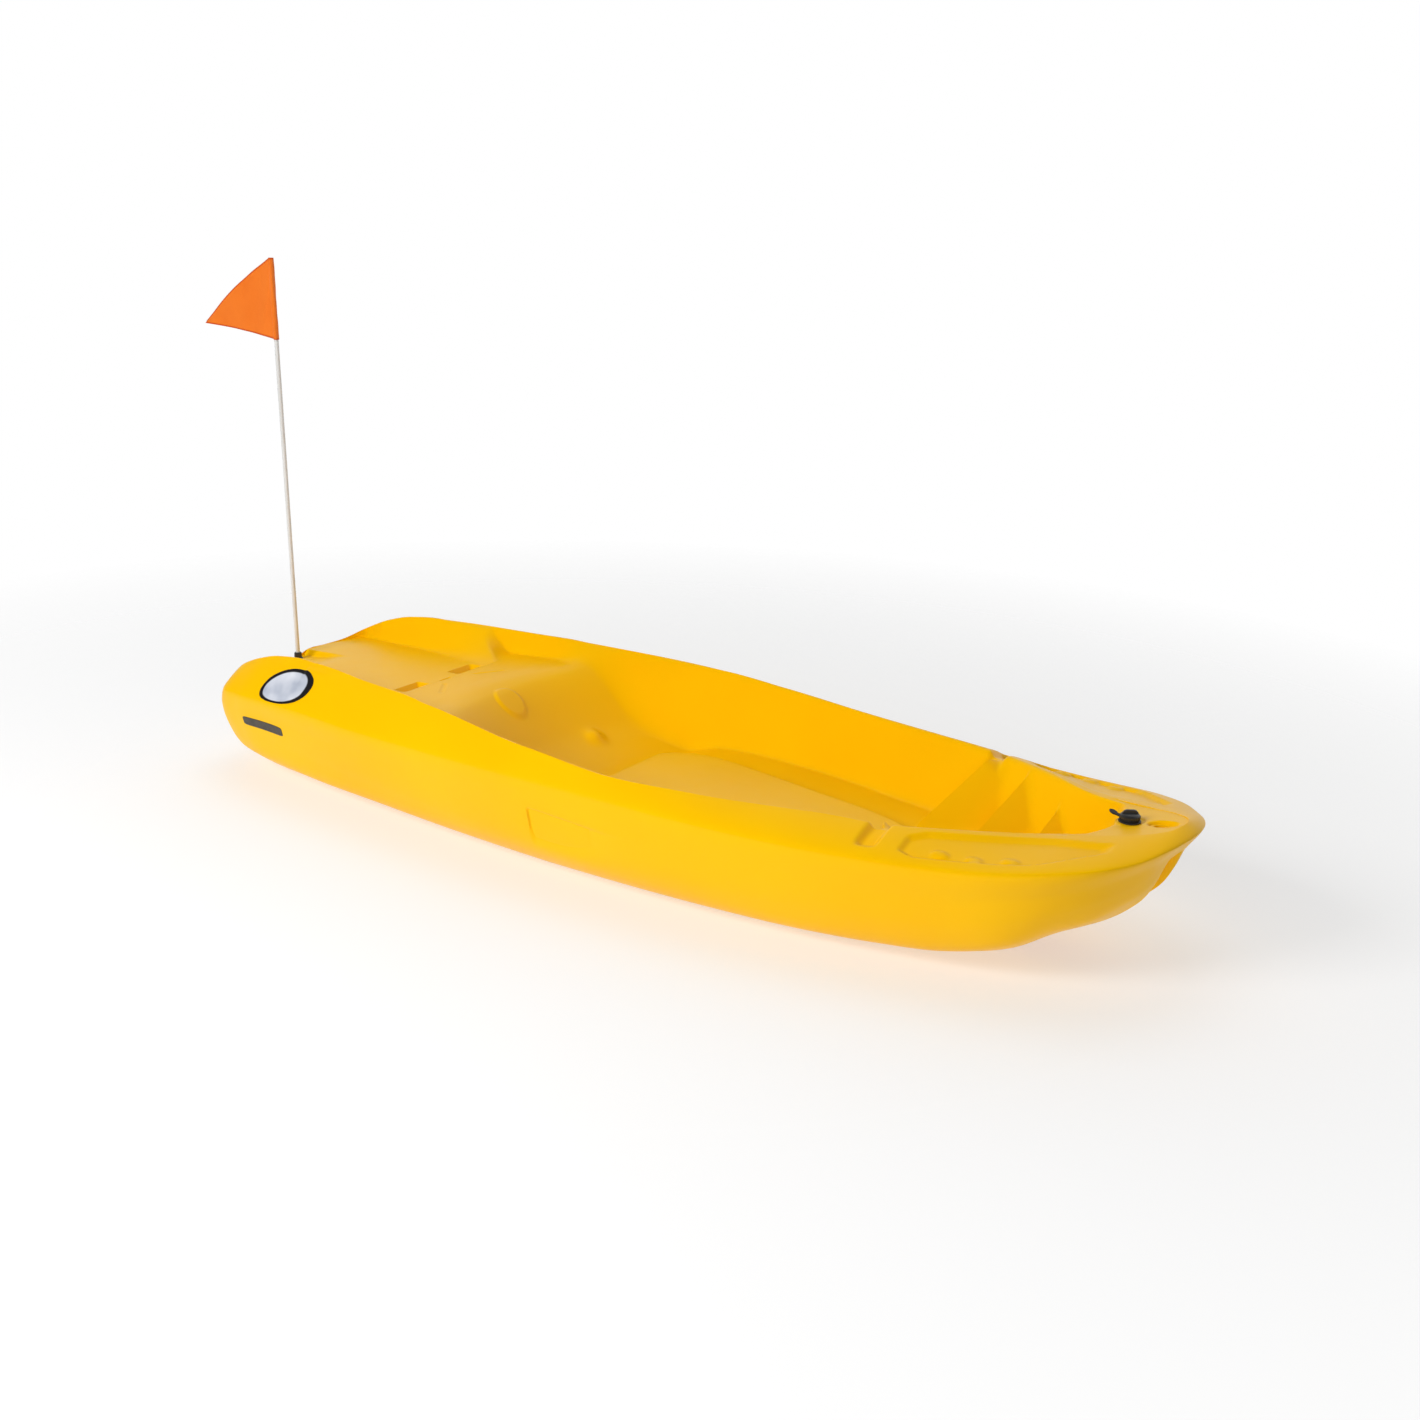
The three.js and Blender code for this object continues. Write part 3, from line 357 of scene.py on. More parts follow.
def hull_point(r, h, grow=0.0):
    """Hull from the shoulder (h = 1) by the outer keel (h = 5) to the centreline (h = 6)."""
    level = [net(j, r) for j in range(8)]
    if h <= 5:
        i = int(min(max(math.floor(h), 1), 4))

        def tangent(j):
            if j == 1:
                return 0.45 * (level[2] - level[1]) + 0.175 * (level[1] - level[0])
            if j == 5:
                return 0.6 * (level[5] - level[4])
            return (level[j + 1] - level[j - 1]) / 2

        point = hermite(level[i], level[i + 1], tangent(i), tangent(i + 1), 1, h - i)
    else:
        outer = level[5]
        width = np.maximum(outer[:, 1], 1e-6)
        half = tunnel_a(outer[:, 0]) + grow
        one = np.ones(len(r))
        inner = np.minimum((half - 8) / width, BOTTOM_SPLIT[1])
        rows = [one, np.minimum((half + 7) / width, BOTTOM_SPLIT[0]), inner, inner * BOTTOM_SPLIT[2], 0 * one]
        at = (h - 5) * 4
        i = int(min(math.floor(at), 3))
        f = mix(rows[i], rows[i + 1], at - i)
        share = np.where(outer[:, 1] > 1, level[6][:, 1] / width, 0.5)
        wide = f > share
        t_out = (f - share) / np.maximum(1 - share, 1e-9)
        t_in = f / np.maximum(share, 1e-9)
        outside = mix(level[6], outer, t_out[:, None])
        within = mix(level[7], level[6], t_in[:, None])
        point = np.where(wide[:, None], outside, within)
    half = tunnel_a(point[:, 0]) + grow
    crown = crown_z(point[:, 0]) - 6 * (point[:, 1] / half) ** 2
    inside = 1 - step(half - 9, half + 5, point[:, 1])
    lifted = mix(point[:, 2], crown, inside)
    point[:, 2] = np.maximum(np.where(crown > point[:, 2], lifted, point[:, 2]), 0)
    return point


def hand_hold(point, r):
    """Long shallow finger recess in the hull's side: a crisp aft end and a soft forward end."""
    s, z = point[:, 0], point[:, 2]
    top = 137 - 0.045 * (s - 828)
    start = step(825, 830, s)
    depth = 6.5 * start * (1 - step(850, 1010, s)) + 1.2 * start * (1 - step(930, 1040, s))
    depth = depth * (1 - step(top - 5, top, z)) * step(top - 78, top - 30, z)
    n = inward(r)
    point[:, 0] += n[:, 0] * depth
    point[:, 1] += n[:, 1] * depth
    return point


def hull_skin(r, h, inner):
    if not inner:
        point = hull_point(r, h)
        if 1.001 < h < 5:
            point = hand_hold(point, r)
    else:
        point = hull_point(r, h, WALL)
        turn = min(max((h - 3.4) / 1.6, 0), 1) * math.pi / 2
        n = inward(r)
        side = (WALL + 0.5) * math.cos(turn)
        point[:, 0] += n[:, 0] * side
        point[:, 1] = np.maximum(point[:, 1] + n[:, 1] * side, 0)
        point[:, 2] += (WALL + 0.5) * math.sin(turn)
    if h < 1.001:
        point[:, 2] -= SEAM
    return point


# ---------------------------------------------------------------- the deck's skin
def deck_band(r, t, under):
    """Side deck rows, from the shoulder up to the crest."""
    point = side_deck(r, t)
    if t > 0.999:
        point[:, 2] += SEAM
    if under:
        n = inward(r)
        point[:, 0] += n[:, 0] * WALL * t
        point[:, 1] = np.maximum(point[:, 1] + n[:, 1] * WALL * t, 0)
        point[:, 2] -= mix(7, 0, t)
    return point


def deck_inside(r, f, under):
    """Rows from the crest (f = 0) to the centreline (f = 1)."""
    crest = side_deck(r, 0.0)
    s0, a0 = crest[:, 0], crest[:, 1]
    a = a0 * (1 - f)
    spine = 0.9 * s0 + 0.1 * mix(45, 1795, (s0 - 29) / 1776)
    s = mix(s0, spine, f)
    s = s - np.where(a0 > 50, column_lean(s0) * (a0 - np.maximum(a, 50)), 0)
    s = s - rim_lean(s0) * RIM_CURVE * (a0**2 - a**2)
    z = deck_top(s, a)
    notch = INNER_NOTCH_DEPTH * (1 - step(8, 19, np.abs(s - NOTCH_S))) * step(a0 - 32, a0 - 6, a)
    z = z - np.where((s > 1300) & (s < 1500), notch, 0)
    if under:
        z = z - deck_thickness(s, a)
    return np.stack([s, a, z], axis=1)


# ---------------------------------------------------------------- mesh helpers
def linked(name, data):
    """A new object, linked to the scene."""
    thing = bpy.data.objects.new(name, data)
    bpy.context.scene.collection.objects.link(thing)
    return thing


def mesh_from(name, vertices, faces):
    mesh = bpy.data.meshes.new(name)
    mesh.from_pydata([tuple(v) for v in vertices], [], [tuple(f) for f in faces])
    return mesh


def to_row(points):
    """Shape frame in mm to the row frame in metres, kept inside the CAD beam."""
    p = np.array(points, float)
    p[..., 0] -= MID
    p[..., 1] = np.clip(p[..., 1], -BEAM, BEAM)
    return p / 1000


def make(name, vertices, faces, material, body, replaces=(), sharp=40):
    """A named piece from row-frame vertices, on one CAD body."""
    mesh = mesh_from(name, vertices, faces)
    return finish_piece(name, mesh, material, body, replaces, sharp)


def finish_piece(name, mesh, material, body, replaces=(), sharp=40):
    """Smooth shading up to the sharp angle in degrees, then the piece's material and body; the CAD parts it
    replaces are hidden.
    """
    mesh.validate()
    mesh.name = name
    mesh.materials.clear()
    mesh.materials.append(material)
    mesh.polygons.foreach_set("use_smooth", [True] * len(mesh.polygons))
    mesh.set_sharp_from_angle(angle=math.radians(sharp))
    mesh.update()
    piece = linked(name, mesh)
    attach(piece, body)
    if replaces:
        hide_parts(*replaces)
    return piece


def quad_mesh(name, vertices, quads):
    """A mesh of quads from arrays, with no Python loop over them."""
    mesh = bpy.data.meshes.new(name)
    count = len(quads)
    mesh.vertices.add(len(vertices))
    mesh.vertices.foreach_set("co", np.asarray(vertices, np.float32).ravel())
    mesh.loops.add(4 * count)
    mesh.loops.foreach_set("vertex_index", np.asarray(quads, np.int32).ravel())
    mesh.polygons.add(count)
    mesh.polygons.foreach_set("loop_start", np.arange(0, 4 * count, 4, dtype=np.int32))
    mesh.update(calc_edges=True)
    return mesh


def half_grid(rows, first):
    """Vertices of both halves of a grid whose first and last columns and last row are shared."""
    port = np.stack(rows)  # row, column, xyz
    for shared in (port[:, 0], port[:, -1], port[-1]):
        shared[:, 1] = 0
    m, n = port.shape[:2]
    index = first + np.arange(m * n).reshape(m, n)
    mirror = index.copy()
    inner = port[:-1, 1:-1]
    count = inner.shape[0] * inner.shape[1]
    mirror[:-1, 1:-1] = first + m * n + np.arange(count).reshape(inner.shape[:2])
    starboard = inner.reshape(-1, 3) * (1, -1, 1)
    return np.concatenate([port.reshape(-1, 3), starboard]), index, mirror


def grid_quads(index):
    a, b = index[:-1, :-1], index[:-1, 1:]
    c, d = index[1:, 1:], index[1:, :-1]
    return np.stack([a, b, c, d], axis=-1).reshape(-1, 4)


def shell(name, outer_rows, inner_rows):
    """Closed thin moulding: outer and inner skins, joined along their first rows."""
    outer, out_port, out_star = half_grid(outer_rows, 0)
    inner, in_port, in_star = half_grid(inner_rows, len(outer))

    def edge(top, low):
        return np.stack([top[0, 1:], top[0, :-1], low[0, :-1], low[0, 1:]], axis=-1)

    quads = [
        grid_quads(out_port),
        grid_quads(out_star)[:, ::-1],
        grid_quads(in_port)[:, ::-1],
        grid_quads(in_star),
        edge(out_port, in_port),
        edge(out_star, in_star)[:, ::-1],
    ]
    quads = np.concatenate(quads)
    points = np.concatenate([outer, inner])
    a, b, c, d = (points[quads[:, k]] for k in range(4))
    volume = np.einsum("ij,ij->", a, np.cross(b, c) + np.cross(c, d))
    if volume < 0:
        quads = quads[:, ::-1]
    return quad_mesh(name, to_row(points), quads)


def lathe(profile, segments=64, wobble=None):
    """Turned solid about Z from (radius, height) pairs. It starts and ends on the axis or closes."""
    closed = profile[0] == profile[-1] and profile[0][0] > 0
    rings = profile[:-1] if closed else profile
    vertices, faces, ids = [], [], []
    for radius, z in rings:
        if radius < 1e-9:
            ids.append([len(vertices)] * segments)
            vertices.append((0, 0, z))
            continue
        ids.append(list(range(len(vertices), len(vertices) + segments)))
        for k in range(segments):
            turn = 2 * math.pi * k / segments
            out = radius + (wobble(turn, radius, z) if wobble else 0)
            vertices.append((out * math.cos(turn), out * math.sin(turn), z))
    pairs = list(zip(ids, ids[1:] + ids[:1] if closed else ids[1:]))
    for low, high in pairs:
        for k in range(segments):
            j = (k + 1) % segments
            face = [low[k], low[j], high[j], high[k]]
            face = [v for i, v in enumerate(face) if v != face[i - 1]]
            if len(face) > 2:
                faces.append(face)
    return vertices, faces


def rounded(profile, radius=0.5, steps=3):
    """Rounds the corners of a profile that are off the axis."""
    made = [profile[0]]
    for before, here, after in zip(profile, profile[1:], profile[2:]):
        p, q, r = (np.array(x, float) for x in (before, here, after))
        back, on = np.linalg.norm(p - q), np.linalg.norm(r - q)
        reach = min(radius, 0.45 * back, 0.45 * on)
        start, end = q + (p - q) * reach / back, q + (r - q) * reach / on
        for i in range(steps + 1):
            t = i / steps
            made.append(tuple((1 - t) ** 2 * start + 2 * t * (1 - t) * q + t * t * end))
    return made + [profile[-1]]


def placed(vertices, s, z, lean=0.0):
    """Points of a small piece, in mm about its own foot, moved into the row frame."""
    turn = np.array(Matrix.Rotation(-lean, 3, "Y"))
    return to_row(np.array(vertices, float) @ turn.T + (s, 0, z))


def carve(mesh, steps):
    """Applies (operation, vertices, faces) steps to a mesh with boolean modifiers."""
    thing = linked("carved", mesh)
    tools = []
    for operation, vertices, faces in steps:
        tools.append(linked("tool", mesh_from("tool", vertices, faces)))
        modifier = thing.modifiers.new(operation, "BOOLEAN")
        modifier.operation = operation
        modifier.solver = "MANIFOLD"
        modifier.object = tools[-1]
    bpy.context.view_layer.update()
    ready = thing.evaluated_get(bpy.context.evaluated_depsgraph_get())
    result = bpy.data.meshes.new_from_object(ready)
    for used in [thing, *tools]:
        bpy.data.objects.remove(used)
    return result


# ---------------------------------------------------------------- camera
def make_camera():
    """The photograph's view, from the axes and the place that its outline gave."""
    camera = linked("camera", bpy.data.cameras.new("camera"))
    bpy.context.scene.camera = camera
    right = Vector((0.83977, 0.54171, 0.03667))
    up = Vector((-0.19288, 0.23451, 0.95279))
    back = right.cross(up)
    turn = Matrix((right, up, back)).transposed()
    camera.matrix_world = Matrix.Translation((1.8383, -2.6831, 1.2589)) @ turn.to_4x4()
    camera.data.sensor_width = 36
    camera.data.lens = 50.55
    camera.data.clip_end = 200


# ---------------------------------------------------------------- materials
class Nodes:
    """A short way to build one material's node tree."""

    def __init__(self, name):
        self.material = bpy.data.materials.new(name)
        self.material.use_nodes = True
        self.tree = self.material.node_tree
        self.shader = self.tree.nodes["Principled BSDF"]
        self.place = self.tree.nodes.new("ShaderNodeTexCoord").outputs["Object"]

    def add(self, kind, links=(), **values):
        node = self.tree.nodes.new("ShaderNode" + kind)
        for key, value in values.items():
            if hasattr(node, key):
                setattr(node, key, value)
            else:
                node.inputs[key.replace("_", " ")].default_value = value
        for socket, source in dict(links).items():
            self.tree.links.new(source, node.inputs[socket])
        return node

    def noise(self, scale, detail=3.0, roughness=0.5):
        node = self.add("TexNoise", {"Vector": self.place}, Scale=scale, Detail=detail, Roughness=roughness)
        return node.outputs["Fac"]

    def ramp(self, source, stops):
        node = self.add("ValToRGB", {"Fac": source})
        for extra in stops[2:]:
            node.color_ramp.elements.new(extra[0])
        for element, (position, colour) in zip(node.color_ramp.elements, stops):
            element.position = position
            element.color = (*colour, 1) if hasattr(colour, "__len__") else (colour, colour, colour, 1)
        return node.outputs["Color"]

    def bump(self, source, strength, distance, below=None):
        links = {"Height": source}
        if below is not None:
            links["Normal"] = below
        return self.add("Bump", links, Strength=strength, Distance=distance).outputs["Normal"]

    def set(self, **values):
        for key, value in values.items():
            socket = self.shader.inputs[key.replace("_", " ")]
            if isinstance(value, bpy.types.NodeSocket):
                self.tree.links.new(value, socket)
            else:
                socket.default_value = value
        return self.material


def moulded_plastic(name, dark, light, rough):
    """Thermoformed sheet: slow colour drift, faint orange peel, fine scuffs."""
    n = Nodes(name)
    drift = n.noise(3.2, 2.0)
    colour = n.ramp(drift, [(0.3, dark), (0.7, light)])
    cloud = n.noise(38.0, 4.0, 0.6)
    shine = n.ramp(cloud, [(0.25, rough - 0.03), (0.8, rough + 0.04)])
    peel = n.bump(n.noise(26.0, 2.0), 0.10, 0.0012)
    fine = n.bump(n.noise(900.0, 2.0), 0.12, 0.00012, peel)
    return n.set(
        Base_Color=colour,
        Roughness=shine,
        Normal=fine,
        IOR=1.5,
        Specular_IOR_Level=0.12,
        Subsurface_Weight=0.06,
        Subsurface_Radius=(1.0, 0.45, 0.1),
        Subsurface_Scale=0.004,
    )


def black_plastic(name, level=0.030, rough=0.36):
    n = Nodes(name)
    colour = n.ramp(n.noise(60.0), [(0.3, level * 0.8), (0.7, level * 1.3)])
    shine = n.ramp(n.noise(240.0, 4.0), [(0.3, rough - 0.07), (0.7, rough + 0.08)])
    return n.set(Base_Color=colour, Roughness=shine, Normal=n.bump(n.noise(1400.0, 2.0), 0.25, 0.0001))


def rubber(name):
    n = Nodes(name)
    colour = n.ramp(n.noise(90.0), [(0.3, 0.018), (0.7, 0.032)])
    return n.set(Base_Color=colour, Roughness=0.72, Normal=n.bump(n.noise(1800.0, 3.0), 0.35, 0.00012))


def glass_fibre_rod(name):
    """White pultruded rod: fine lengthwise fibres under a thin gloss."""
    n = Nodes(name)
    stretch = n.add("Mapping", {"Vector": n.place})
    stretch.inputs["Scale"].default_value = (900, 900, 14)
    fibre = n.add("TexNoise", {"Vector": stretch.outputs["Vector"]}, Scale=1.0, Detail=3.0).outputs["Fac"]
    colour = n.ramp(fibre, [(0.25, (0.68, 0.68, 0.66)), (0.75, (0.80, 0.80, 0.79))])
    return n.set(Base_Color=colour, Roughness=0.33, Normal=n.bump(fibre, 0.12, 0.0002), Coat_Weight=0.2)


def foam(name):
    n = Nodes(name)
    cells = n.add("TexVoronoi", {"Vector": n.place}, Scale=420.0).outputs["Distance"]
    colour = n.ramp(cells, [(0.0, 0.62), (0.6, 0.80)])
    return n.set(Base_Color=colour, Roughness=0.9, Normal=n.bump(cells, 0.6, 0.0006))


def pennant_cloth(name):
    """Orange nylon: a plain weave and darker stitched hems."""
    n = Nodes(name)
    waves = []
    for direction in ("X", "Z"):
        waves.append(
            n.add("TexWave", {"Vector": n.place}, Scale=330.0, Distortion=0.6, Detail=1.0,
                  bands_direction=direction).outputs["Fac"]
        )
    weave = n.add("Math", {0: waves[0], 1: waves[1]}, operation="MULTIPLY").outputs[0]
    hem = n.add("Attribute", attribute_name="hem").outputs["Fac"]
    tone = n.add("Math", {0: n.noise(14.0, 3.0), 1: weave}, operation="ADD").outputs[0]
    base = n.ramp(tone, [(0.3, (0.80, 0.150, 0.010)), (1.1, (0.92, 0.225, 0.022))])
    dark = n.add("Mix", {"Factor": hem}, data_type="RGBA")
    n.tree.links.new(base, dark.inputs["A"])
    dark.inputs["B"].default_value = (0.60, 0.075, 0.006, 1)
    return n.set(
        Base_Color=dark.outputs["Result"],
        Roughness=0.72,
        Normal=n.bump(weave, 0.35, 0.0002),
        Sheen_Weight=0.25,
        Sheen_Roughness=0.4,
    )


def badge_film(name, attribute):
    """Printed film: silver field that shades across, inside a dark rim."""
    n = Nodes(name)
    rim = n.add("Attribute", attribute_name=attribute).outputs["Fac"]
    drift = n.noise(22.0, 2.0)
    field = n.ramp(drift, [(0.3, (0.42, 0.46, 0.55)), (0.7, (0.74, 0.76, 0.82))])
    edge = n.ramp(rim, [(0.80, 0.0), (0.84, 1.0)])
    both = n.add("Mix", {"Factor": edge}, data_type="RGBA")
    n.tree.links.new(field, both.inputs["A"])
    both.inputs["B"].default_value = (0.012, 0.011, 0.013, 1)
    grain = n.bump(n.noise(300.0), 0.05, 0.0002)
    return n.set(Base_Color=both.outputs["Result"], Roughness=0.3, Normal=grain)


def strip_film(name):
    n = Nodes(name)
    colour = n.ramp(n.noise(80.0, 3.0), [(0.3, (0.030, 0.026, 0.022)), (0.7, (0.060, 0.050, 0.036))])
    return n.set(Base_Color=colour, Roughness=0.5, Normal=n.bump(n.noise(700.0), 0.1, 0.0001))


SHELL = moulded_plastic("deck_plastic", (0.93, 0.490, 0.0004), (0.97, 0.532, 0.0006), 0.34)
# The hull's copy of the deck plastic is a touch darker, as painted shade for the sides and bottom, and a
# touch rougher.
HULL_PAINTED_SHADE = moulded_plastic("hull_plastic", (0.92, 0.484, 0.0004), (0.96, 0.526, 0.0006), 0.36)
BLACK = black_plastic("plug_plastic")
FITTING = black_plastic("fitting_plastic", 0.03, 0.5)
RUBBER = rubber("gasket_rubber")
ROD = glass_fibre_rod("staff_rod")
FOAM = foam("foam")
CLOTH = pennant_cloth("pennant_cloth")
BADGE = badge_film("badge_film", "rim")
STRIP = strip_film("strip_film")


# ---------------------------------------------------------------- the two mouldings
def column_numbers(spacing):
    """Rib numbers of columns about one spacing apart along the gunwale and shoulder."""
    dense = np.linspace(0, LAST, 8001)
    along = 0
    for level in (0, 1):
        along = along + np.linalg.norm(np.diff(net(level, dense), axis=0), axis=1) / 2
    length = np.concatenate([[0], np.cumsum(along)])
    count = int(length[-1] / spacing)
    return np.interp(np.linspace(0, length[-1], count + 1), length, dense)


GRID = 3.2  # mesh spacing in mm
COLUMNS = column_numbers(GRID)


def turned_tool(profile, s, z, stretch=1.0, lean=0.0):
    vertices, faces = lathe(profile, ROUND)
    vertices = np.array(vertices) * (stretch, 1, 1)
    return placed(vertices, s, z, lean), faces


def make_deck():
    lead = np.concatenate([np.linspace(0, 0.05, 9), np.linspace(0.05, 1, int(290 / GRID))[1:]])
    band = np.linspace(1, 0, int(100 / GRID))
    outer = [deck_band(COLUMNS, t, False) for t in band] + [deck_inside(COLUMNS, f, False) for f in lead[1:]]
    coarse = np.linspace(1, 0, 9)
    inner = [deck_band(COLUMNS, t, True) for t in coarse]
    inner += [deck_inside(COLUMNS, f, True) for f in np.linspace(0, 1, 60)[1:]]
    mesh = shell("deck", outer, inner)
    funnel = [(0, TOW_FLOOR), (9.5, TOW_FLOOR), (13, TOW_Z - 1), (0, TOW_Z - 1)]
    mouth = [(0, TOW_FLOOR - 30), (6, TOW_FLOOR - 30), (6, TOW_FLOOR + 6), (9.5, TOW_Z), (9.5, 260), (0, 260)]
    mouth = [mouth[0], *rounded(mouth[1:5], 4, 5), mouth[5]]
    steps = [
        ("UNION", *turned_tool(funnel, TOW_S, 0, TOW_LONG)),
        ("DIFFERENCE", *turned_tool(mouth, TOW_S, 0, TOW_LONG)),
        ("DIFFERENCE", *turned_tool([(0, -30), (13, -30), (13, 30), (0, 30)], PLUG_S, PLUG_Z)),
        ("DIFFERENCE", *turned_tool([(0, -30), (6.9, -30), (6.9, 30), (0, 30)], STAFF_S, STAFF_Z, lean=LEAN)),
    ]
    mesh = carve(mesh, steps)
    finish_piece("deck_moulding", mesh, SHELL, "hull", ["deck"], 50)


def make_hull():
    sides = np.linspace(1, 5, int(250 / GRID))
    bottom = np.linspace(5, 6, int(200 / GRID))
    outer = [hull_skin(COLUMNS, h, False) for h in [*sides, *bottom[1:]]]
    inner = [hull_skin(COLUMNS, h, True) for h in [*np.linspace(1, 5, 17), *np.linspace(5, 6, 17)[1:]]]
    mesh = shell("hull", outer, inner)
    below = [(0, 150), (7, 150), (7, TOW_FLOOR - 0.35), (0, TOW_FLOOR - 0.35)]
    clear = [(0, TOW_FLOOR - 0.35), (15.5, TOW_FLOOR - 0.35), (15.5, TOW_FLOOR + 30), (0, TOW_FLOOR + 30)]
    steps = [
        ("DIFFERENCE", *turned_tool(below, TOW_S, 0, TOW_LONG)),
        ("DIFFERENCE", *turned_tool(clear, TOW_S, 0, TOW_LONG)),
    ]
    mesh = carve(mesh, steps)
    finish_piece("hull_moulding", mesh, HULL_PAINTED_SHADE, "hull", ["hull"], 50)


# ---------------------------------------------------------------- drain
def bar(outline, half, soft=0.8):
    """Flat bar: an outline in X and Z, 2 * half thick along Y, with softened edges."""
    count = len(outline)
    centre = np.mean(outline, axis=0)
    vertices, faces = [], []
    for y, shrink in ((-half, soft), (-half + soft, 0), (half - soft, 0), (half, soft)):
        for point in outline:
            toward = centre - np.array(point)
            inset = np.array(point) + toward / np.linalg.norm(toward) * shrink
            vertices.append((inset[0], y, inset[1]))
    for ring in range(3):
        for k in range(count):
            j = (k + 1) % count
            faces.append([ring * count + k, ring * count + j, (ring + 1) * count + j, (ring + 1) * count + k])
    faces.append(list(range(count))[::-1])
    faces.append([3 * count + k for k in range(count)])
    return vertices, faces


def spun(part, angle):
    vertices, faces = part
    turn = np.array(Matrix.Rotation(angle, 3, "Z"))
    return np.array(vertices, float) @ turn.T, faces


def rounded_ring(profile, radius):
    """A closed profile with rounded corners, which ends on its own first point."""
    made = rounded(profile, radius)
    made[-1] = made[0]
    return made


def move_to_plug(mesh):
    """From mm about the plug's foot to the row frame."""
    mesh.transform(Matrix.Scale(0.001, 4))
    mesh.transform(Matrix.Translation(((PLUG_S - MID) / 1000, 0, PLUG_Z / 1000)))


def make_drain():
    ring = [(9.8, -12), (12.7, -12), (12.7, 0.3), (17, 0.3), (17, 2.5), (9.8, 2.5), (9.8, -12)]
    vertices, faces = lathe(rounded_ring(ring, 0.5), ROUND)
    points = placed(vertices, PLUG_S, PLUG_Z)
    make("bushing", points, faces, FITTING, "hull", ["drain_bushing"])

    def grip(turn, radius, z):
        return 0.35 * math.cos(28 * turn) if radius > 14.5 and z > 6.5 else 0

    head = [(0, -11), (8.4, -11), (9.3, -10), (9.3, 6.3), (15.3, 6.3), (15.3, 8.2), (15.3, 10), (12.6, 12.6),
            (8, 13.8), (0, 14.2)]
    head = [head[0], *rounded(head[1:-1], 0.9), head[-1]]
    wing = [(-12.6, 9), (12.6, 9), (12.8, 12.5), (11.2, 15.6), (8.6, 17.8), (5.4, 18.8), (-5.4, 18.8),
            (-8.6, 17.8), (-11.2, 15.6), (-12.8, 12.5)]
    steps = [("UNION", *spun(bar(wing, 2.6), 0.6))]
    vertices, faces = lathe(head, 168, grip)
    mesh = carve(mesh_from("plug", vertices, faces), steps)
    move_to_plug(mesh)
    finish_piece("plug", mesh, BLACK, "plug", ["drain_plug"], 35)

    collar = [(9.7, 4.5), (15.4, 4.5), (15.4, 6), (9.7, 6), (9.7, 4.5)]
    vertices, faces = lathe(rounded_ring(collar, 0.3), ROUND)
    mesh = carve(mesh_from("retainer", vertices, faces), [("UNION", *tab_plate())])
    move_to_plug(mesh)
    finish_piece("retainer", mesh, RUBBER, "retainer", ["plug_retainer"], 35)


def tab_plate():
    """The retaining ring's finger tab, which points aft and bends up to a round end."""
    centre, radius, bend_from, bend = -26, 6.5, 15, 0.36
    outline = [(-12, -4.5), (-21, -4)]
    for k in range(13):
        turn = math.radians(51 + k * 258 / 12)
        outline.append((centre + radius * math.cos(turn), -radius * math.sin(turn)))
    outline += [(-21, 4), (-12, 4.5)]
    count = len(outline)
    vertices = []
    for height in (4.5, 6.2):
        vertices += [(x, y, height + bend * max(-x - bend_from, 0)) for x, y in outline]
    faces = [list(range(count))[::-1], [count + k for k in range(count)]]
    for k in range(count):
        j = (k + 1) % count
        faces.append([k, j, count + j, count + k])
    return vertices, faces


# ---------------------------------------------------------------- staff and pennant
def on_staff(name, profile, material, body, node, segments=64, wobble=None):
    vertices, faces = lathe(profile, segments, wobble)
    points = placed(vertices, STAFF_S, STAFF_Z, LEAN)
    make(name, points, faces, material, body, [node])


def make_staff():
    def flutes(turn, radius, z):
        return -0.45 * (0.5 + 0.5 * math.cos(10 * turn)) if 3.2 < z < 11 and radius > 6 else 0

    socket = [(0, -60), (5.6, -60), (6.6, -59), (6.6, 0.4), (8.7, 0.4), (8.7, 2.2), (7.4, 2.9), (7.3, 6.5),
              (7.2, 10.6), (6.4, 12.5), (4.35, 12.8), (4.35, -55.3), (0, -55.3)]
    socket = [socket[0], *rounded(socket[1:-1], 0.4), socket[-1]]
    on_staff("socket", socket, BLACK, "hull", "staff_socket", 120, flutes)
    rod = [(0, -55), (3.6, -55), (4, -54), (4, STAFF_LONG), (0, STAFF_LONG)]
    on_staff("rod", rod, ROD, "staff", "staff")


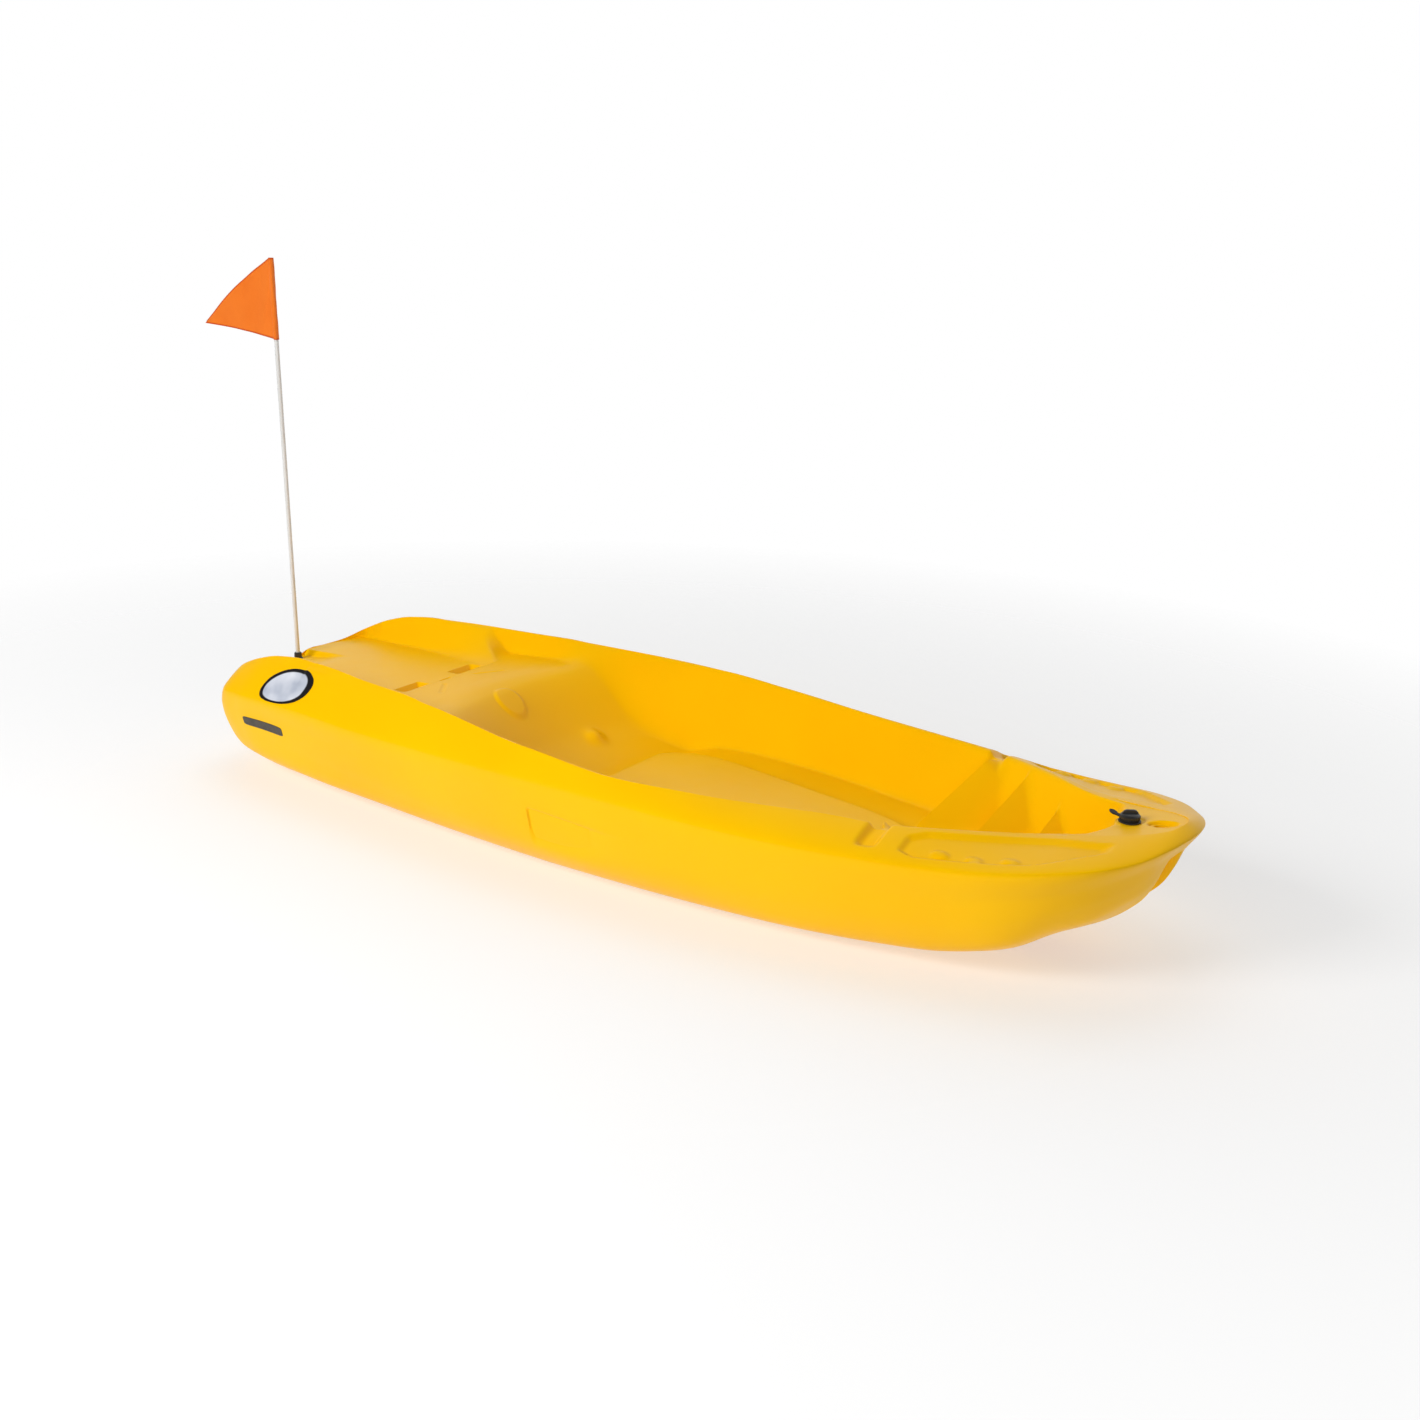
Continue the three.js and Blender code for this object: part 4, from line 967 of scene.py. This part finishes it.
def make_pennant():
    high = STAFF_LONG + 1.4
    low = high - HOIST + 0.1
    across, up = 90, 60
    tip_low, tip_high = low + 24, low + 28
    vertices, hem = [], []
    for i in range(across + 1):
        u = i / across
        bottom = mix(low + 0.4, tip_low, u) + 2.5 * math.sin(math.pi * u)
        crown = mix(high - 0.4, tip_high, u) + 9 * math.sin(math.pi * u) * (1 - 0.25 * u)
        for j in range(up + 1):
            v = j / up
            x = -4.6 - (FLY - 5) * u + 1.2 * math.sin(math.pi * v) * u
            w = mix(bottom, crown, v)
            y = 2.6 * math.sin(5.2 * u + 1.2 * v) * u ** 0.6 + 1.3 * math.sin(11 * u - 2.5 * v + 0.5) * u
            y += 0.6 * math.sin(24 * u + 5 * v) * (1 - u)
            vertices.append((x, y * 0.9, w))
            edge = min(v * (crown - bottom), (1 - v) * (crown - bottom), FLY * (1 - u) * 0.9)
            hem.append(1.0 - float(step(1.6, 3.4, edge)))
    faces = []
    for i in range(across):
        for j in range(up):
            a = i * (up + 1) + j
            faces.append([a, a + 1, a + up + 2, a + up + 1])
    points = placed(vertices, STAFF_S, STAFF_Z, LEAN)
    flag = make("pennant_sheet", points, faces, CLOTH, "pennant", ["pennant"], 60)
    attribute = flag.data.attributes.new("hem", "FLOAT", "POINT")
    attribute.data.foreach_set("value", hem)
    solid = flag.modifiers.new("thickness", "SOLIDIFY")
    solid.thickness = 0.0006
    solid.offset = 0

    def crease(turn, radius, z):
        return 0.25 * math.sin(3 * turn + 0.06 * z) + 0.15 * math.sin(0.19 * z + turn)

    inside = STAFF_LONG + 0.4
    sleeve = [(0, inside), (4.5, inside), (4.5, low), (5.1, low)]
    sleeve += [(5.1, low + (high - 1 - low) * k / 40) for k in range(1, 41)]
    sleeve += [(4.4, high), (0, high)]
    tube, rings = lathe(sleeve, 48, crease)
    points = placed(tube, STAFF_S, STAFF_Z, LEAN)
    sewn = make("pennant_sleeve", points, rings, CLOTH, "pennant")
    seam = sewn.data.attributes.new("hem", "FLOAT", "POINT")
    ends = [1.0 - float(step(2, 4, min(z - low, high - z))) for _, _, z in tube]
    seam.data.foreach_set("value", ends)


# ---------------------------------------------------------------- films on the sides
def film(name, at, outline, rings, material, nodes, side):
    """A thin label that follows the surface at(p, q): a domed face and a wrapped edge."""
    count = 96
    vertices, rim, faces = [], [], []

    def lifted(p, q, lift):
        a, b, c, d = at(p - 0.01, q), at(p + 0.01, q), at(p, q - 0.01), at(p, q + 0.01)
        normal = np.cross(b - a, d - c)
        normal = normal / np.linalg.norm(normal) * (1 if normal[1] > 0 else -1)
        return at(p, q) + normal * lift

    for ring in range(rings + 1):
        share = ring / rings
        for k in range(count):
            p, q = outline(2 * math.pi * k / count)
            vertices.append(lifted(p * share, q * share, 0.85) * (1, side, 1))
            rim.append(share)
    for k in range(count):
        p, q = outline(2 * math.pi * k / count)
        vertices.append(lifted(p, q, 0.2) * (1, side, 1))
        rim.append(1.0)
    for ring in range(rings + 1):
        for k in range(count):
            j = (k + 1) % count
            a, b = ring * count + k, ring * count + j
            faces.append([a, b, b + count, a + count])
    piece = make(name, to_row(vertices), faces, material, "hull", nodes, 50)
    piece.data.attributes.new("rim", "FLOAT", "POINT").data.foreach_set("value", rim)


def rib_at(station):
    dense = np.linspace(0, LAST, 4001)
    return float(np.interp(station, net(0, dense)[:, 0], dense))


def make_films():
    badge_r, strip_r = rib_at(228), rib_at(167)

    def badge_at(p, q):
        return side_deck(np.array([badge_r + p * 0.62]), 0.56 - 0.12 * p + q * 0.34)[0]

    def strip_at(p, q):
        return hull_point(np.array([strip_r + p * 0.62]), 2.36 - 0.02 * p + q * 0.2)[0]

    def square(v):
        return 0 if abs(v) < 1e-9 else math.copysign(abs(v) ** 0.25, v)

    for word, side in (("port", 1), ("starboard", -1)):
        film("badge_" + word, badge_at, lambda t: (math.cos(t), math.sin(t)), 24, BADGE,
             ["side_badge_" + word], side)
    film("strip", strip_at, lambda t: (square(math.cos(t)), square(math.sin(t))), 8, STRIP,
         ["id_strip"], -1)


# ---------------------------------------------------------------- hidden pieces keep their CAD mesh
def dress_cad():
    for node, material in (
        ("drain_gasket", RUBBER), ("flotation_block_stern", FOAM), ("flotation_block_port", FOAM),
        ("flotation_block_starboard", FOAM),
    ):
        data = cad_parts[node].data
        data.materials.clear()
        data.materials.append(material)


# ---------------------------------------------------------------- stage and light
def make_stage():
    """A pale floor that fades into the white backdrop 1.0 to 2.3 m from the boat."""
    n = Nodes("stage_floor")
    spread = n.add("VectorMath", {0: n.place}, operation="LENGTH").outputs["Value"]
    far = n.add("MapRange", {"Value": spread}, From_Min=1.0, From_Max=2.3).outputs[0]
    fade = n.ramp(far, [(0.0, 0.0), (1.0, 1.0)])
    n.set(Base_Color=(0.55, 0.55, 0.55, 1), Roughness=0.9,
          Emission_Color=(1, 1, 1, 1), Emission_Strength=0.46)
    clear = n.add("BsdfTransparent")
    blend = n.add("MixShader", {0: fade, 1: n.shader.outputs[0], 2: clear.outputs[0]})
    n.tree.links.new(blend.outputs[0], n.tree.nodes["Material Output"].inputs["Surface"])
    side = 8.0
    corners = [(-side, -side, 0), (side, -side, 0), (side, side, 0), (-side, side, 0)]
    mesh = mesh_from("floor", corners, [(0, 1, 2, 3)])
    mesh.materials.append(n.material)
    floor = linked("floor", mesh)


def area_light(name, place, aim, size, power, glossy=True):
    light = bpy.data.lights.new(name, "AREA")
    light.shape = "RECTANGLE"
    light.size, light.size_y = size
    light.energy = power
    lamp = linked(name, light)
    lamp.location = place
    lamp.rotation_euler = (Vector(aim) - Vector(place)).to_track_quat("-Z", "Y").to_euler()
    lamp.visible_glossy = glossy


def studio_world():
    """White for the camera. As light it is bright behind the boat and dim on the camera's side."""
    world = bpy.data.worlds.new("studio")
    world.use_nodes = True
    tree = world.node_tree
    place = tree.nodes.new("ShaderNodeTexCoord")
    split = tree.nodes.new("ShaderNodeSeparateXYZ")
    tree.links.new(place.outputs["Generated"], split.inputs[0])
    level = tree.nodes.new("ShaderNodeMapRange")
    level.interpolation_type = "SMOOTHSTEP"
    for socket, value in (("From Min", -0.2), ("From Max", 0.85), ("To Min", 0.04), ("To Max", 0.95)):
        level.inputs[socket].default_value = value
    tree.links.new(split.outputs["Y"], level.inputs["Value"])
    rays = tree.nodes.new("ShaderNodeLightPath")
    pick = tree.nodes.new("ShaderNodeMix")
    tree.links.new(rays.outputs["Is Camera Ray"], pick.inputs["Factor"])
    tree.links.new(level.outputs[0], pick.inputs["A"])
    pick.inputs["B"].default_value = 1.0
    tree.links.new(pick.outputs[0], tree.nodes["Background"].inputs["Strength"])
    tree.nodes["Background"].inputs["Color"].default_value = (1, 1, 1, 1)
    bpy.context.scene.world = world


def make_light():
    studio_world()
    area_light("key", (-1.2, -3.6, 2.2), (0, 0, 0.15), (1.8, 1.4), 136, glossy=False)
    area_light("fill", (2.4, -3.2, 1.0), (0.2, 0, 0.1), (2.0, 1.4), 30, glossy=False)
    area_light("top", (-0.4, 0.5, 3.2), (0, 0, 0), (2.2, 2.2), 20, glossy=False)
    bpy.context.scene.view_settings.view_transform = "Standard"


make_camera()
make_light()
make_stage()
make_deck()
make_hull()
make_drain()
make_staff()
make_pennant()
make_films()
dress_cad()
